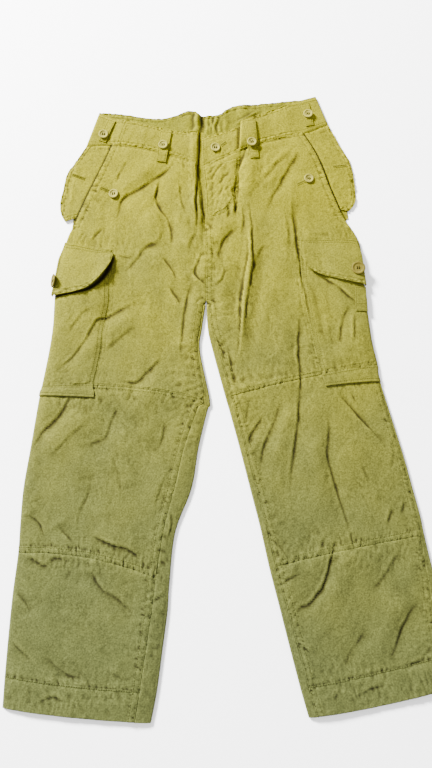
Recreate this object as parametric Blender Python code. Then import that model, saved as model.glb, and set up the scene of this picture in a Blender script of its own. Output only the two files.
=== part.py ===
"""Cargo trousers laid flat on their back, front side up.

The garment lies on the plane z = 0 with its waist towards +Y and its hems towards -Y.
Right and left are the wearer's: the right leg is on the -X side. Every table is in
millimetres. Each leg is one grid of points, worked out from a table of cross sections,
and the panels, pockets and flaps of that leg all use points of that grid.
"""

import math
from collections import namedtuple

import bpy
import numpy as np
from mathutils import Euler, Vector
from mathutils.bvhtree import BVHTree

MM = 0.001
CLOTH = 1.6  # wall of one cloth
BAND = 2.0  # wall of the doubled waistband at the back
GAP = 0.3  # clearance between two pieces
SEAM = 0.15  # half of the gap where two panels are sewn together
EDGE_TOP = 3.6  # height of the front cloth where it meets the folded side edges
LOFT = 3.2  # how far the front cloth rises inside those edges
LOFT_LENGTH = 8.0  # how fast it rises
POCKET_COLUMNS = 5  # grid columns under a cargo pocket
FRONT_COLUMNS = 9  # grid columns on the rest of a front panel
POCKET_PUFF = 2.2
FLAP_RISE = 2.4  # how far a cargo flap's free edge stands off its pocket
FOLD_EDGE = 25.0  # folds grow to their full height this far inside a folded side edge
SLASH_LIFT = 5.6  # height of the front cloth along the open hip pockets
SLASH_REACH = 22.0  # width of the strip that is held up by their facing
SLASH_BLEND = 10.0
DROOP_START = 9.0  # a hip flap leaves the level of the back panel this far outside it
DROOP_END = 19.0  # and reaches the floor here
LAYER = 0.7  # clearance between the folds of the waist pleat
BAND_SEAM = 0.4  # gap between a front panel and the band above it
EDGE_PROBE = 3.0  # the upper layer's height at a folded edge is read this far inside it
TURN_POINTS = 5  # path points round the fold of an edge
LIP_POINTS = TURN_POINTS + 2
REST_SPREAD = 5.0  # a piece rests on the highest point within this distance
LOOP_ARCH = 1.2
HEM_LIFT = (0.3, 1.6, 2.4)  # the pocket hem's rise over the leg, from its seam to its free edge
FLAP_TURN = 2.0  # the right cargo flap folds round the side of the leg, down to this height

CENTRE = (-0.508, -0.015)  # moves the finished outline onto the middle of its own box

# Slow waves of the front cloth: height, and the lengths over which x and y turn their phase.
Wave = namedtuple("Wave", "height x_length y_length")
WAVES = (Wave(0.5, 31, 57), Wave(0.4, -83, 37))

# One row for each cross section of a leg, from the waist down. The outer end lies on
# the side seam or on the slanted pocket edge, and the inner end on the centre seam or on
# the inside of the leg. A bow lifts the middle of the row. A lip is the width of back
# cloth that is folded round the edge onto the front, and pocket is the width that the
# cargo pocket covers. Steps is the number of grid cells down to the next section.
Section = namedtuple(
    "Section", "name outer_x outer_y inner_x inner_y bow inner_lip outer_lip pocket steps"
)
RIGHT_SECTIONS = (
    Section("waist", -215, 427, -58, 387, 8, 0, 0, 60, 3),
    Section("slash_middle", -235, 376, -55, 345, 4, 0, 0, 68, 3),
    Section("slash_low", -256, 325, -51, 303, 0, 0, 0, 76, 3),
    Section("slash_end", -278, 265, -43, 262, 0, 0, 0, 84, 3),
    Section("pocket_top", -289, 232, -40, 205, -4, 0, 0, 84, 4),
    Section("rise", -300, 160, -41, 152, 0, 0, 0, 92, 2),
    Section("crotch", -301, 122, -42, 120, 0, 4, 0, 93, 2),
    Section("thigh", -301, 80, -48, 76, 0, 4, 0, 86, 2),
    Section("thigh_low", -305, 35, -51, 38, 2, 4, 0, 87, 4),
    Section("knee_seam", -313, -22, -34, -47, 11, 10, 0, 86, 1),
    Section("pocket_bottom", -317, -40, -38, -64, 5, 17, 0, 92, 4),
    Section("calf_high", -326, -125, -52, -124, 0, 24, 0, 90, 4),
    Section("calf", -333, -190, -63, -190, 0, 28, 0, 90, 3),
    Section("calf_low", -334, -245, -88, -258, 5, 19, 0, 90, 3),
    Section("shin_seam", -334, -289, -96, -335, 14, 22, 0, 86, 3),
    Section("shin_high", -338, -350, -98, -374, 8, 24, 0, 82, 3),
    Section("shin_low", -340, -410, -104, -424, 2, 25, 0, 80, 3),
    Section("hem_stitch", -341, -466, -112, -488, -4, 26, 0, 76, 2),
    Section("hem", -341, -510, -120, -530, -3, 24, 0, 74, 0),
)
LEFT_SECTIONS = (
    Section("waist", 138, 450, -48, 383, 10, 0, 0, 70, 3),
    Section("slash_middle", 162, 403, -44, 350, 5, 0, 0, 78, 3),
    Section("slash_low", 180, 346, -42, 306, 0, 0, 0, 86, 3),
    Section("slash_end", 203, 284, -43, 262, 0, 0, 0, 94, 3),
    Section("pocket_top", 227, 238, -40, 206, 9, 0, 0, 106, 4),
    Section("rise", 232, 165, -41, 152, 0, 0, 0, 107, 2),
    Section("crotch", 234, 122, -40, 120, 0, 4, 0, 106, 2),
    Section("thigh", 237, 83, -38, 76, 0, 8, 0, 101, 2),
    Section("thigh_low", 240, 52, -29, 36, 0, 10, 0, 99, 4),
    Section("knee_seam", 247, 12, -8, -43, 5, 10, 4, 97, 1),
    Section("pocket_bottom", 250, -16, -2, -64, 10, 10, 4, 94, 4),
    Section("calf_high", 279, -133, 15, -128, 0, 10, 4, 92, 4),
    Section("calf", 291, -190, 32, -196, 0, 10, 5, 90, 3),
    Section("calf_low", 300, -233, 46, -252, 0, 10, 6, 88, 3),
    Section("shin_seam", 304, -262, 59, -312, 3, 10, 8, 84, 3),
    Section("shin_high", 315, -326, 72, -364, 0, 11, 12, 80, 3),
    Section("shin_low", 327, -388, 86, -421, 0, 12, 20, 76, 3),
    Section("hem_stitch", 337, -434, 102, -484, -3, 12, 25, 72, 2),
    Section("hem", 342, -478, 113, -523, -5, 12, 26, 70, 0),
)

# The seam down the middle of the body, below the fly, as (y, x). Both legs end on it.
CENTRE_SEAM = ((120, -41), (152, -41), (205, -40), (262, -43))

# Where the back panels run instead, above the end of the hip pockets. The side seam there is the
# outer edge of the garment, and the seat seam runs down the middle.
BackSection = namedtuple("BackSection", "name side_x side_y seat_x seat_y")
RIGHT_BACK = (
    BackSection("waist", -262, 420, -41, 441),
    BackSection("slash_middle", -268, 376, -41, 380),
    BackSection("slash_low", -274, 325, -42, 318),
    BackSection("slash_end", -279, 266, -43, 262),
)
LEFT_BACK = (
    BackSection("waist", 184, 467, -41, 441),
    BackSection("slash_middle", 198, 412, -41, 380),
    BackSection("slash_low", 206, 348, -42, 318),
    BackSection("slash_end", 212, 281, -43, 262),
)

# The largest folds of the front cloth. A fold runs through its points; a ridge has a
# positive height and a trough a negative one, and the two widths are its spread to the
# left and to the right of its direction.
Fold = namedtuple("Fold", "name height left right points")
FOLDS = (
    Fold("right front tuck at the fly", -3.0, 9, 11, ((-57, 460), (-61, 400), (-61, 350), (-66, 305))),
    Fold("right front beside the fly", 3.0, 12, 16, ((-80, 445), (-86, 380), (-84, 320))),
    Fold("right hip fold", -3.0, 10, 12, ((-97, 408), (-111, 378), (-159, 340), (-191, 318), (-206, 269))),
    Fold("right hip roll", 2.6, 15, 15, ((-112, 400), (-172, 355), (-212, 320))),
    Fold("right rise dip", -3.2, 13, 11, ((-130, 360), (-131, 318), (-112, 278), (-102, 240), (-106, 205))),
    Fold("right rise ridge", 3.2, 14, 14, ((-88, 300), (-80, 255), (-82, 215))),
    Fold("right crotch roll", 3.0, 14, 14, ((-146, 300), (-134, 262), (-133, 225))),
    Fold("right crotch diagonal", -2.2, 14, 14, ((-112, 260), (-145, 227), (-191, 172))),
    Fold("right crotch bulge", 4.2, 12, 12, ((-44, 214), (-50, 185), (-44, 160))),
    Fold("right crotch crease", -3.2, 9, 10, ((-42, 221), (-60, 190), (-70, 150), (-79, 101), (-83, 40))),
    Fold("right inner thigh tube", 3.6, 13, 13, ((-62, 150), (-64, 95), (-66, 25))),
    Fold("right thigh crease", -2.6, 9, 12, ((-120, 210), (-104, 185), (-84, 114))),
    Fold("right pocket diagonal", -3.4, 11, 12, ((-143, 132), (-205, 98), (-241, 60), (-297, -8))),
    Fold("right pocket roll", 3.0, 16, 16, ((-150, 110), (-212, 72), (-256, 22))),
    Fold("right knee pinch", -2.4, 9, 10, ((-125, 15), (-154, -16), (-176, -15))),
    Fold("right knee roll", 2.6, 14, 14, ((-110, -2), (-136, -30), (-160, -80))),
    Fold("right calf crease", -3.4, 11, 12, ((-262, -40), (-281, -72), (-309, -103), (-328, -135))),
    Fold("right calf ridge", 3.2, 14, 16, ((-240, -58), (-268, -98), (-300, -132))),
    Fold("right calf hollow", -2.6, 14, 18, ((-176, -47), (-195, -80), (-212, -112), (-254, -126))),
    Fold("right calf middle", -2.0, 13, 13, ((-224, -150), (-231, -201), (-242, -250))),
    Fold("right calf inner hollow", -2.4, 14, 14, ((-108, -75), (-112, -105), (-134, -140))),
    Fold("right shin tuck outer", -3.0, 9, 11, ((-334, -230), (-312, -235), (-298, -252), (-286, -290))),
    Fold("right shin tuck middle", -2.6, 10, 12, ((-276, -243), (-244, -278), (-200, -300))),
    Fold("right shin overhang", 3.4, 13, 11, ((-222, -252), (-186, -262), (-142, -280))),
    Fold("right shin hollow", -2.6, 14, 12, ((-224, -306), (-200, -342), (-159, -371), (-138, -388))),
    Fold("right shin ridge", 2.6, 15, 15, ((-236, -322), (-206, -368), (-160, -398))),
    Fold("right hem crease", -2.6, 11, 11, ((-290, -432), (-263, -452), (-215, -472))),
    Fold("right hem corner crease", -2.2, 11, 11, ((-340, -345), (-318, -362), (-306, -384))),
    Fold("left hip crease", -3.2, 9, 13, ((128, 418), (101, 368), (75, 318))),
    Fold("left hip ridge", 2.8, 14, 14, ((112, 430), (84, 380), (58, 335))),
    Fold("left hip second crease", -1.8, 11, 13, ((100, 424), (70, 374), (37, 330))),
    Fold("pleat crease", -3.4, 9, 9, ((31, 425), (20, 390), (16, 350), (12, 305))),
    Fold("pleat ridge", 3.6, 11, 12, ((44, 420), (36, 370), (32, 320))),
    Fold("fly crease", -3.0, 9, 10, ((20, 268), (0, 252), (-14, 230), (-22, 195))),
    Fold("fly ridge", 3.2, 11, 11, ((8, 290), (-12, 262), (-28, 232))),
    Fold("left pressed crease", 4.2, 11, 11, ((34, 300), (39, 250), (32, 175), (20, 90), (8, 10))),
    Fold("left crease shadow outer", -2.6, 11, 13, ((58, 240), (50, 175), (36, 90), (24, 15))),
    Fold("left crease shadow inner", -2.8, 11, 11, ((16, 210), (13, 150), (6, 80))),
    Fold("left inner thigh roll", 3.0, 11, 11, ((-16, 190), (-16, 120), (-8, 50))),
    Fold("left inner thigh crease", -2.6, 9, 9, ((-18, 60), (-4, 15), (8, -36))),
    Fold("left pocket edge hollow", -3.0, 11, 11, ((118, 330), (116, 269), (124, 215), (136, 125))),
    Fold("left pocket roll", 2.4, 14, 14, ((98, 310), (94, 240), (96, 160))),
    Fold("left thigh trough", -3.2, 11, 12, ((121, 134), (115, 60), (116, -13), (106, -113), (92, -209))),
    Fold("left thigh ridge", 2.6, 14, 14, ((90, 110), (84, 30), (76, -50))),
    Fold("left pocket sag", -2.8, 11, 12, ((143, 174), (188, 148), (237, 103))),
    Fold("left pocket drape", -2.2, 11, 11, ((207, 123), (190, 90), (183, 40))),
    Fold("left knee crease", -3.0, 10, 12, ((88, -36), (68, -88), (50, -135), (36, -181))),
    Fold("left knee inner crease", -2.8, 9, 10, ((54, -70), (36, -100), (24, -128))),
    Fold("left knee ridge", 2.8, 12, 12, ((104, -46), (88, -100), (70, -150))),
    Fold("left outer knee crease", -2.4, 10, 12, ((174, -28), (208, -72), (258, -132))),
    Fold("left calf crease", -3.2, 10, 11, ((156, -60), (156, -138), (168, -200), (182, -248), (177, -280))),
    Fold("left calf ridge", 3.0, 13, 13, ((138, -80), (138, -160), (148, -230))),
    Fold("left shin crease", -3.6, 10, 10, ((166, -258), (152, -305), (134, -345), (108, -370), (86, -386))),
    Fold("left shin ridge", 3.4, 13, 13, ((186, -276), (172, -318), (150, -358))),
    Fold("left shin outer hollow", -2.4, 14, 14, ((266, -276), (246, -308), (212, -352))),
    Fold("left lower hollow", -3.0, 12, 13, ((290, -352), (265, -386), (244, -430), (232, -456))),
    Fold("left lower ridge", 2.6, 14, 14, ((270, -346), (240, -390), (214, -440))),
    Fold("left hem hollow", -2.8, 12, 12, ((206, -396), (182, -428), (166, -460))),
    Fold("left hem corner hollow", -2.4, 11, 11, ((304, -418), (281, -445), (258, -454))),
)

# A pocket opening on the hip is slanted, and its flap is turned outwards from under the
# front panel. Each row runs from the sewn root to the free edge.
FlapRow = namedtuple("FlapRow", "root_x root_y tip_x tip_y")
RIGHT_HIP_FLAP = (
    FlapRow(-206, 423, -261, 419),
    FlapRow(-211, 408, -272, 406),
    FlapRow(-217, 393, -283, 389),
    FlapRow(-223, 378, -293, 373),
    FlapRow(-229, 363, -297, 354),
    FlapRow(-235, 348, -299, 338),
    FlapRow(-241, 333, -302, 322),
    FlapRow(-247, 318, -303, 306),
    FlapRow(-253, 303, -300, 290),
    FlapRow(-259, 288, -292, 275),
)
LEFT_HIP_FLAP = (
    FlapRow(130, 446, 184, 466),
    FlapRow(137, 430, 196, 442),
    FlapRow(144, 414, 207, 418),
    FlapRow(151, 398, 219, 396),
    FlapRow(158, 382, 224, 375),
    FlapRow(163, 366, 226, 356),
    FlapRow(168, 350, 227, 338),
    FlapRow(173, 334, 227, 320),
    FlapRow(179, 318, 221, 305),
    FlapRow(186, 303, 212, 295),
)

# A cargo flap hangs from its seam, the top, to its curved free edge, the bottom. The first column
# is at the side of the leg.
FlapColumn = namedtuple("FlapColumn", "top_x top_y bottom_x bottom_y")
RIGHT_CARGO_FLAP = (
    FlapColumn(-292, 233, -303.5, 134),
    FlapColumn(-282, 230, -291, 135),
    FlapColumn(-271, 228, -278, 137),
    FlapColumn(-259, 225, -264, 140),
    FlapColumn(-247, 222, -250, 144),
    FlapColumn(-235, 219, -237, 152),
    FlapColumn(-224, 217, -225, 163),
    FlapColumn(-215, 215, -215, 176),
    FlapColumn(-208, 214, -207, 191),
    FlapColumn(-204, 213, -203, 206),
)
LEFT_CARGO_FLAP = (
    FlapColumn(226, 237, 232, 153),
    FlapColumn(213, 238, 219, 156),
    FlapColumn(200, 239, 205, 159),
    FlapColumn(187, 239, 191, 162),
    FlapColumn(174, 238, 177, 166),
    FlapColumn(162, 237, 163, 170),
    FlapColumn(150, 237, 150, 175),
    FlapColumn(139, 237, 138, 184),
    FlapColumn(129, 238, 128, 200),
    FlapColumn(121, 238, 122, 220),
)

# The waistband's upper edge, from the right side to the left.
BACK_BAND_TOP = (
    (-240, 496), (-203, 494), (-147, 485), (-119, 485), (-91, 494), (-76, 500), (-65, 498),
    (-54, 490), (-35, 490), (-20, 492), (-5, 502), (11, 511), (58, 515), (114, 522),
    (139, 524), (162, 530),
)  # fmt: skip
RIGHT_BAND_TOP = ((-240, 496), (-212, 483), (-170, 475), (-131, 464), (-109, 458), (-61, 455))
RIGHT_BAND_SIDE = (-261, 425)
LEFT_BAND_SIDE = (183, 469.5)

# The left front band, from the fly to the side. Layer 0 lies on the back band, and at the
# pleat the band folds back under itself to layer 1 and forward again to layer 2.
BandColumn = namedtuple("BandColumn", "name bottom_x top_x top_y layer")
LEFT_BAND = (
    BandColumn("fly end", -48, -50, 444, 0),
    BandColumn("fly button", -22, -24, 450, 0),
    BandColumn("fly right", 4, 5, 460, 0),
    BandColumn("pleat start", 27, 29, 469, 0),
    BandColumn("pleat back", 26, 28, 470, 1),
    BandColumn("pleat front", 20, 23, 474, 1),
    BandColumn("pleat edge", 21, 24, 476, 2),
    BandColumn("pleat top", 36, 39, 482, 2),
    BandColumn("pleat end", 54, 58, 490, 1),
    BandColumn("front", 74, 78, 500, 0),
    BandColumn("front middle", 95, 98, 508, 0),
    BandColumn("slash", 116, 118, 517, 0),
    BandColumn("hip", 138, 135, 522, 0),
    BandColumn("side loop", 160, 148, 526, 0),
    BandColumn("side", 183, 162, 530, 0),
)

# The fly's stitched facing on the left front.
FLY_ROWS = (
    FlapRow(-47.0, 380, 19, 399),
    FlapRow(-45.5, 366, 18, 380),
    FlapRow(-44.0, 350, 16, 356),
    FlapRow(-42.5, 334, 13, 335),
    FlapRow(-41.5, 318, 8, 315),
    FlapRow(-41.0, 304, 0, 301),
    FlapRow(-41.0, 295, -9, 292),
    FlapRow(-40.5, 288, -24, 286),
)

# Belt loops: straps sewn at their upper end and buttoned at the lower one.
Strap = namedtuple("Strap", "name top_x top_y top_width bottom_x bottom_y bottom_width")
BELT_LOOPS = (
    Strap("belt_loop_side_right", -216, 481, 15, -232, 437, 14),
    Strap("belt_loop_front_right", -116, 456, 22, -123, 394, 17),
    Strap("belt_loop_front_left", 36, 477, 25, 46, 401, 16),
    Strap("belt_loop_side_left", 139, 516, 20, 149, 470, 15),
)
POCKET_PLEAT = Strap("pocket_pleat_left", 224, 150, 19, 224, 106, 21)

CARGO_BUTTON = 23.5
Button = namedtuple("Button", "name x y diameter seats")
BUTTONS = (
    Button("button_loop_side_right", -230, 450, 17.5, "belt_loop_side_right"),
    Button("button_loop_front_right", -120, 427, 17.5, "belt_loop_front_right"),
    Button("button_loop_front_left", 41, 431, 17.5, "belt_loop_front_left"),
    Button("button_loop_side_left", 146, 493, 17.5, "belt_loop_side_left"),
    Button("button_fly", -25, 424, 17.5, "waistband_left"),
    Button("button_hip_right", -207, 331, 17.5, "front_panel_right"),
    Button("button_hip_left", 143, 361, 17.5, "front_panel_left"),
    Button("button_cargo_left", 221, 186, CARGO_BUTTON, "cargo_flap_left"),
)
CARGO_BUTTON_Y = 160.0  # the right one sits on the fold of its flap, at the side of the leg
CARGO_BUTTON_TILT = math.radians(60)
CARGO_BUTTON_RAISE = 1.0  # its centre lies this far above where it touches the fold
BUTTON_SIDES = 16
BUTTON_HEIGHT = 3.0
BUTTON_PROBES = (0.0, 0.3, 0.55, 0.8, 1.0)  # parts of the radius at which the cloth below is felt for

OLIVE = (0.42, 0.40, 0.105, 1.0)
HORN = (0.66, 0.60, 0.38, 1.0)
TAN = (0.40, 0.33, 0.13, 1.0)


def clear_scene():
    for old in list(bpy.data.objects):
        bpy.data.objects.remove(old, do_unlink=True)


def new_material(name, colour, roughness):
    material = bpy.data.materials.new(name)
    material.use_nodes = True
    shader = material.node_tree.nodes["Principled BSDF"]
    shader.inputs["Base Color"].default_value = colour
    shader.inputs["Roughness"].default_value = roughness
    shader.inputs["Metallic"].default_value = 0.0
    return material


def volume(points, faces):
    """Signed volume inside closed faces: positive where they face outwards."""
    points = np.asarray(points, float)
    fans = [(face[0], face[k], face[k + 1]) for face in faces for k in range(1, len(face) - 1)]
    a, b, c = (points[list(corner)] for corner in zip(*fans))
    return float((a * np.cross(b, c)).sum() / 6)


def add_solid(name, vertices, faces, colour, roughness=0.9):
    """An object from points in millimetres. Where its faces point inwards they are all reversed, each
    from its first corner, so that a four-sided face keeps its diagonal."""
    if volume(vertices, faces) < 0:
        faces = [(face[0],) + tuple(face[:0:-1]) for face in faces]
    mesh = bpy.data.meshes.new(name)
    mesh.from_pydata([Vector(v) * MM for v in vertices], [], faces)
    mesh.shade_smooth()
    mesh.set_sharp_from_angle(angle=math.radians(40))
    mesh.materials.append(new_material(name, colour, roughness))
    made = bpy.data.objects.new(name, mesh)
    made.location = (CENTRE[0] * MM, CENTRE[1] * MM, 0.0)
    bpy.context.scene.collection.objects.link(made)
    return made


def cloth_wall(name, outside, inside, present=None, colour=OLIVE):
    """A closed wall between two grids of points with the same rows and columns.

    present says which grid cells hold cloth; a side face closes each cell edge that has
    no neighbour.
    """
    rows, columns = outside.shape[:2]
    if present is None:
        present = np.ones((rows - 1, columns - 1), bool)
    padded = np.pad(present, 1)
    shift = rows * columns
    faces = []
    for i, j in zip(*np.nonzero(present)):
        a, b = i * columns + j, i * columns + j + 1
        d, c = a + columns, b + columns
        faces.append((a, b, c, d))
        faces.append((a + shift, d + shift, c + shift, b + shift))
        sides = (
            (padded[i, j + 1], b, a),
            (padded[i + 2, j + 1], d, c),
            (padded[i + 1, j], a, d),
            (padded[i + 1, j + 2], c, b),
        )
        for neighbour, start, end in sides:
            if not neighbour:
                faces.append((start, end, end + shift, start + shift))
    points = np.concatenate([outside.reshape(-1, 3), inside.reshape(-1, 3)])
    used = np.unique(np.concatenate([np.array(face) for face in faces]))
    number = np.full(len(points), -1)
    number[used] = np.arange(len(used))
    faces = [tuple(int(number[corner]) for corner in face) for face in faces]
    return add_solid(name, points[used], faces, colour)


def smooth_rows(values, steps):
    """Catmull-Rom rows through the given rows, with a number of steps between each two."""
    values = np.asarray(values, float)
    padded = np.concatenate([2 * values[:1] - values[1:2], values, 2 * values[-1:] - values[-2:-1]])
    rows = []
    for k, count in enumerate(steps):
        before, start, end, after = padded[k : k + 4]
        for t in np.arange(count)[:, None] / count:
            rows.append(
                0.5
                * (
                    2 * start
                    + (end - before) * t
                    + (2 * before - 5 * start + 4 * end - after) * t**2
                    + (3 * start - before - 3 * end + after) * t**3
                )
            )
    rows.append(values[-1:])
    return np.array([np.ravel(row) for row in rows])


def smoothstep(t):
    t = np.clip(t, 0.0, 1.0)
    return t * t * (3 - 2 * t)


def to_segments(points, line):
    """For each point: its distance to a broken line, its side (+1 left) and how far along it is (0 to 1)."""
    line = np.asarray(line, float)
    lengths = np.linalg.norm(np.diff(line, axis=0), axis=1)
    starts = np.concatenate([[0.0], np.cumsum(lengths)])
    best = np.full(points.shape[:-1], np.inf)
    side = np.ones_like(best)
    along = np.zeros_like(best)
    for k, length in enumerate(lengths):
        direction = (line[k + 1] - line[k]) / length
        offset = points - line[k]
        t = np.clip(offset @ direction, 0.0, length)
        away = offset - t[..., None] * direction
        distance = np.linalg.norm(away, axis=-1)
        nearer = distance < best
        cross = direction[0] * away[..., 1] - direction[1] * away[..., 0]
        best = np.where(nearer, distance, best)
        side = np.where(nearer, np.sign(cross), side)
        along = np.where(nearer, (starts[k] + t) / starts[-1], along)
    return best, side, along


class Leg:
    """The grid rows of one leg."""

    def __init__(self, sections, back, outwards):
        steps = [section.steps for section in sections[:-1]]
        self.outwards = outwards  # -1 where the leg's outside is at -X
        self.index = dict(zip([s.name for s in sections], np.cumsum([0] + steps)))
        rows = smooth_rows([section[1:9] for section in sections], steps)
        self.outer, self.inner = rows[:, 0:2], rows[:, 2:4]
        self.bow, self.inner_lip, self.outer_lip, self.pocket = rows[:, 4:].T
        crotch, end = self.index["crotch"], self.index["slash_end"]
        seam_y, seam_x = np.array(CENTRE_SEAM, float).T
        self.inner[end:crotch, 0] = np.interp(self.inner[end:crotch, 1], seam_y, seam_x)
        self.inner_lip = np.where(np.arange(len(rows)) < crotch, 0.0, np.maximum(self.inner_lip, 4.0))
        self.outer_lip = np.maximum(self.outer_lip, 0.0)
        self.outer_lip[: self.index["knee_seam"]] = 0.0
        self.back_outer, self.back_inner = self.outer.copy(), self.inner.copy()
        back_rows = smooth_rows([row[1:5] for row in back], steps[: len(back) - 1])
        self.back_outer[: end + 1] = back_rows[:, 0:2]
        self.back_inner[: end + 1] = back_rows[:, 2:4]
        self.back_inner[end + 1 : crotch] = self.inner[end + 1 : crotch]

    def front_point(self, row, distance):
        """The point this far from the row's outer end, on its bowed line."""
        return bowed(self.outer[row], self.inner[row], self.bow[row], distance)

    def front_grid(self, first, last):
        """Plan positions of the front cloth between two sections: rows, columns, (x, y)."""
        top, bottom = self.index[first], self.index[last]
        rows = []
        for row in range(top, bottom + 1):
            width = np.linalg.norm(self.inner[row] - self.outer[row])
            start = self.outer_lip[row] + (GAP if self.outer_lip[row] else 0.0)
            end = width - self.inner_lip[row] - (GAP if self.inner_lip[row] else SEAM)
            patch = np.linspace(start, self.pocket[row], POCKET_COLUMNS + 1)
            rest = np.linspace(self.pocket[row], end, FRONT_COLUMNS + 1)[1:]
            rows.append([self.front_point(row, d) for d in np.concatenate([patch, rest])])
        return np.array(rows)


def bowed(outer, inner, bow, distance):
    width = np.linalg.norm(inner - outer)
    u = distance / width
    point = outer + (inner - outer) * u
    return point + np.array([0.0, bow * 4 * u * (1 - u)])


RIGHT = Leg(RIGHT_SECTIONS, RIGHT_BACK, -1)
LEFT = Leg(LEFT_SECTIONS, LEFT_BACK, 1)
OUTLINES = (
    np.concatenate([[(-240, 496)], RIGHT.back_outer]),
    np.concatenate([RIGHT.inner[RIGHT.index["crotch"] :][::-1], LEFT.inner[LEFT.index["crotch"] :]]),
    np.concatenate([[(162, 530)], LEFT.back_outer]),
)
SLASHES = (
    RIGHT.outer[: RIGHT.index["slash_end"] + 1],
    LEFT.outer[: LEFT.index["slash_end"] + 1],
)


def fold_height(plan):
    """The sum of all folds at points of the plan. Each fades over a quarter of its length at both ends."""
    total = np.zeros(plan.shape[:-1])
    for fold in FOLDS:
        distance, side, along = to_segments(plan, fold.points)
        width = np.where(side > 0, fold.left, fold.right)
        fade = smoothstep(4 * along) * smoothstep(4 * (1 - along))
        total += fold.height * fade * np.exp(-((distance / width) ** 2))
    return total


def cloth_top(plan):
    """Height of the front cloth's outer face: low at the folded edges, lofted inside them, with its folds."""
    edge = np.full(plan.shape[:-1], np.inf)
    for outline in OUTLINES:
        edge = np.minimum(edge, to_segments(plan, outline)[0])
    loft = LOFT * (1 - np.exp(-edge / LOFT_LENGTH))
    slow = sum(w.height * np.sin(plan[..., 0] / w.x_length + plan[..., 1] / w.y_length) for w in WAVES)
    top = EDGE_TOP + loft + smoothstep(edge / FOLD_EDGE) * (fold_height(plan) + slow)
    for slash in SLASHES:
        near = smoothstep((SLASH_REACH + SLASH_BLEND - to_segments(plan, slash)[0]) / SLASH_BLEND)
        top = np.maximum(top, near * SLASH_LIFT)
    return np.maximum(top, EDGE_TOP)


def with_height(plan, height):
    return np.concatenate([plan, np.asarray(height)[..., None]], axis=-1)


def vertical_wall(name, plan, top, thickness=CLOTH, colour=OLIVE):
    return cloth_wall(name, with_height(plan, top), with_height(plan, top - thickness), colour=colour)


def pull_in(plan, first=SEAM, last=SEAM):
    """Moves the first and last rows towards the middle of the piece, which opens the seams."""
    plan = plan.copy()
    for edge, inner, amount in ((0, 1, first), (-1, -2, last)):
        direction = plan[inner] - plan[edge]
        plan[edge] += amount * direction / np.linalg.norm(direction, axis=-1, keepdims=True)
    return plan


def offset_path(path, thickness, across, upright_ends):
    """Both faces of a wall along a path in one cross section, mitred at its bends."""
    steps = np.diff(path, axis=0)
    steps /= np.linalg.norm(steps, axis=1, keepdims=True)
    normals = np.cross(steps, across)
    normals /= np.linalg.norm(normals, axis=1, keepdims=True)
    at_points = np.concatenate([normals[:1], normals[:-1] + normals[1:], normals[-1:]])
    at_points /= np.linalg.norm(at_points, axis=1, keepdims=True)
    for k in upright_ends:
        at_points[k] = (0, 0, np.sign(at_points[k, 2]))
    before = np.concatenate([normals[:1], normals])
    mitre = 1 / np.maximum((at_points * before).sum(axis=1), 0.7)
    mitre[list(upright_ends)] = 1.0
    shift = at_points * mitre[:, None] * thickness / 2
    return path + shift, path - shift


def turned_edge(low, high):
    """Reach and height along a half circle from the lower to the upper layer of an edge fold."""
    radius = (high - low) / 2
    angles = np.linspace(-math.pi / 2, math.pi / 2, TURN_POINTS)
    return [(radius * math.cos(a), low + radius + radius * math.sin(a)) for a in angles]


def lip_path(leg, row, edge, width):
    """The path of a lip as (distance from the edge, height), from the plate to the lip's free end."""
    middle = CLOTH / 2
    start, end = (leg.outer[row], leg.inner[row]) if edge == "outer" else (leg.inner[row], leg.outer[row])
    inwards = (end - start) / np.linalg.norm(end - start)
    high = float(cloth_top(start + inwards * EDGE_PROBE)) - middle
    reach = middle + (high - middle) / 2
    fold = [(reach - d, z) for d, z in turned_edge(middle, high)]
    length = max(width, reach + 1.0)
    halfway = (reach + length) / 2
    top = [(d, float(cloth_top(start + inwards * d)) - middle) for d in (halfway, length)]
    return fold + top


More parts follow.
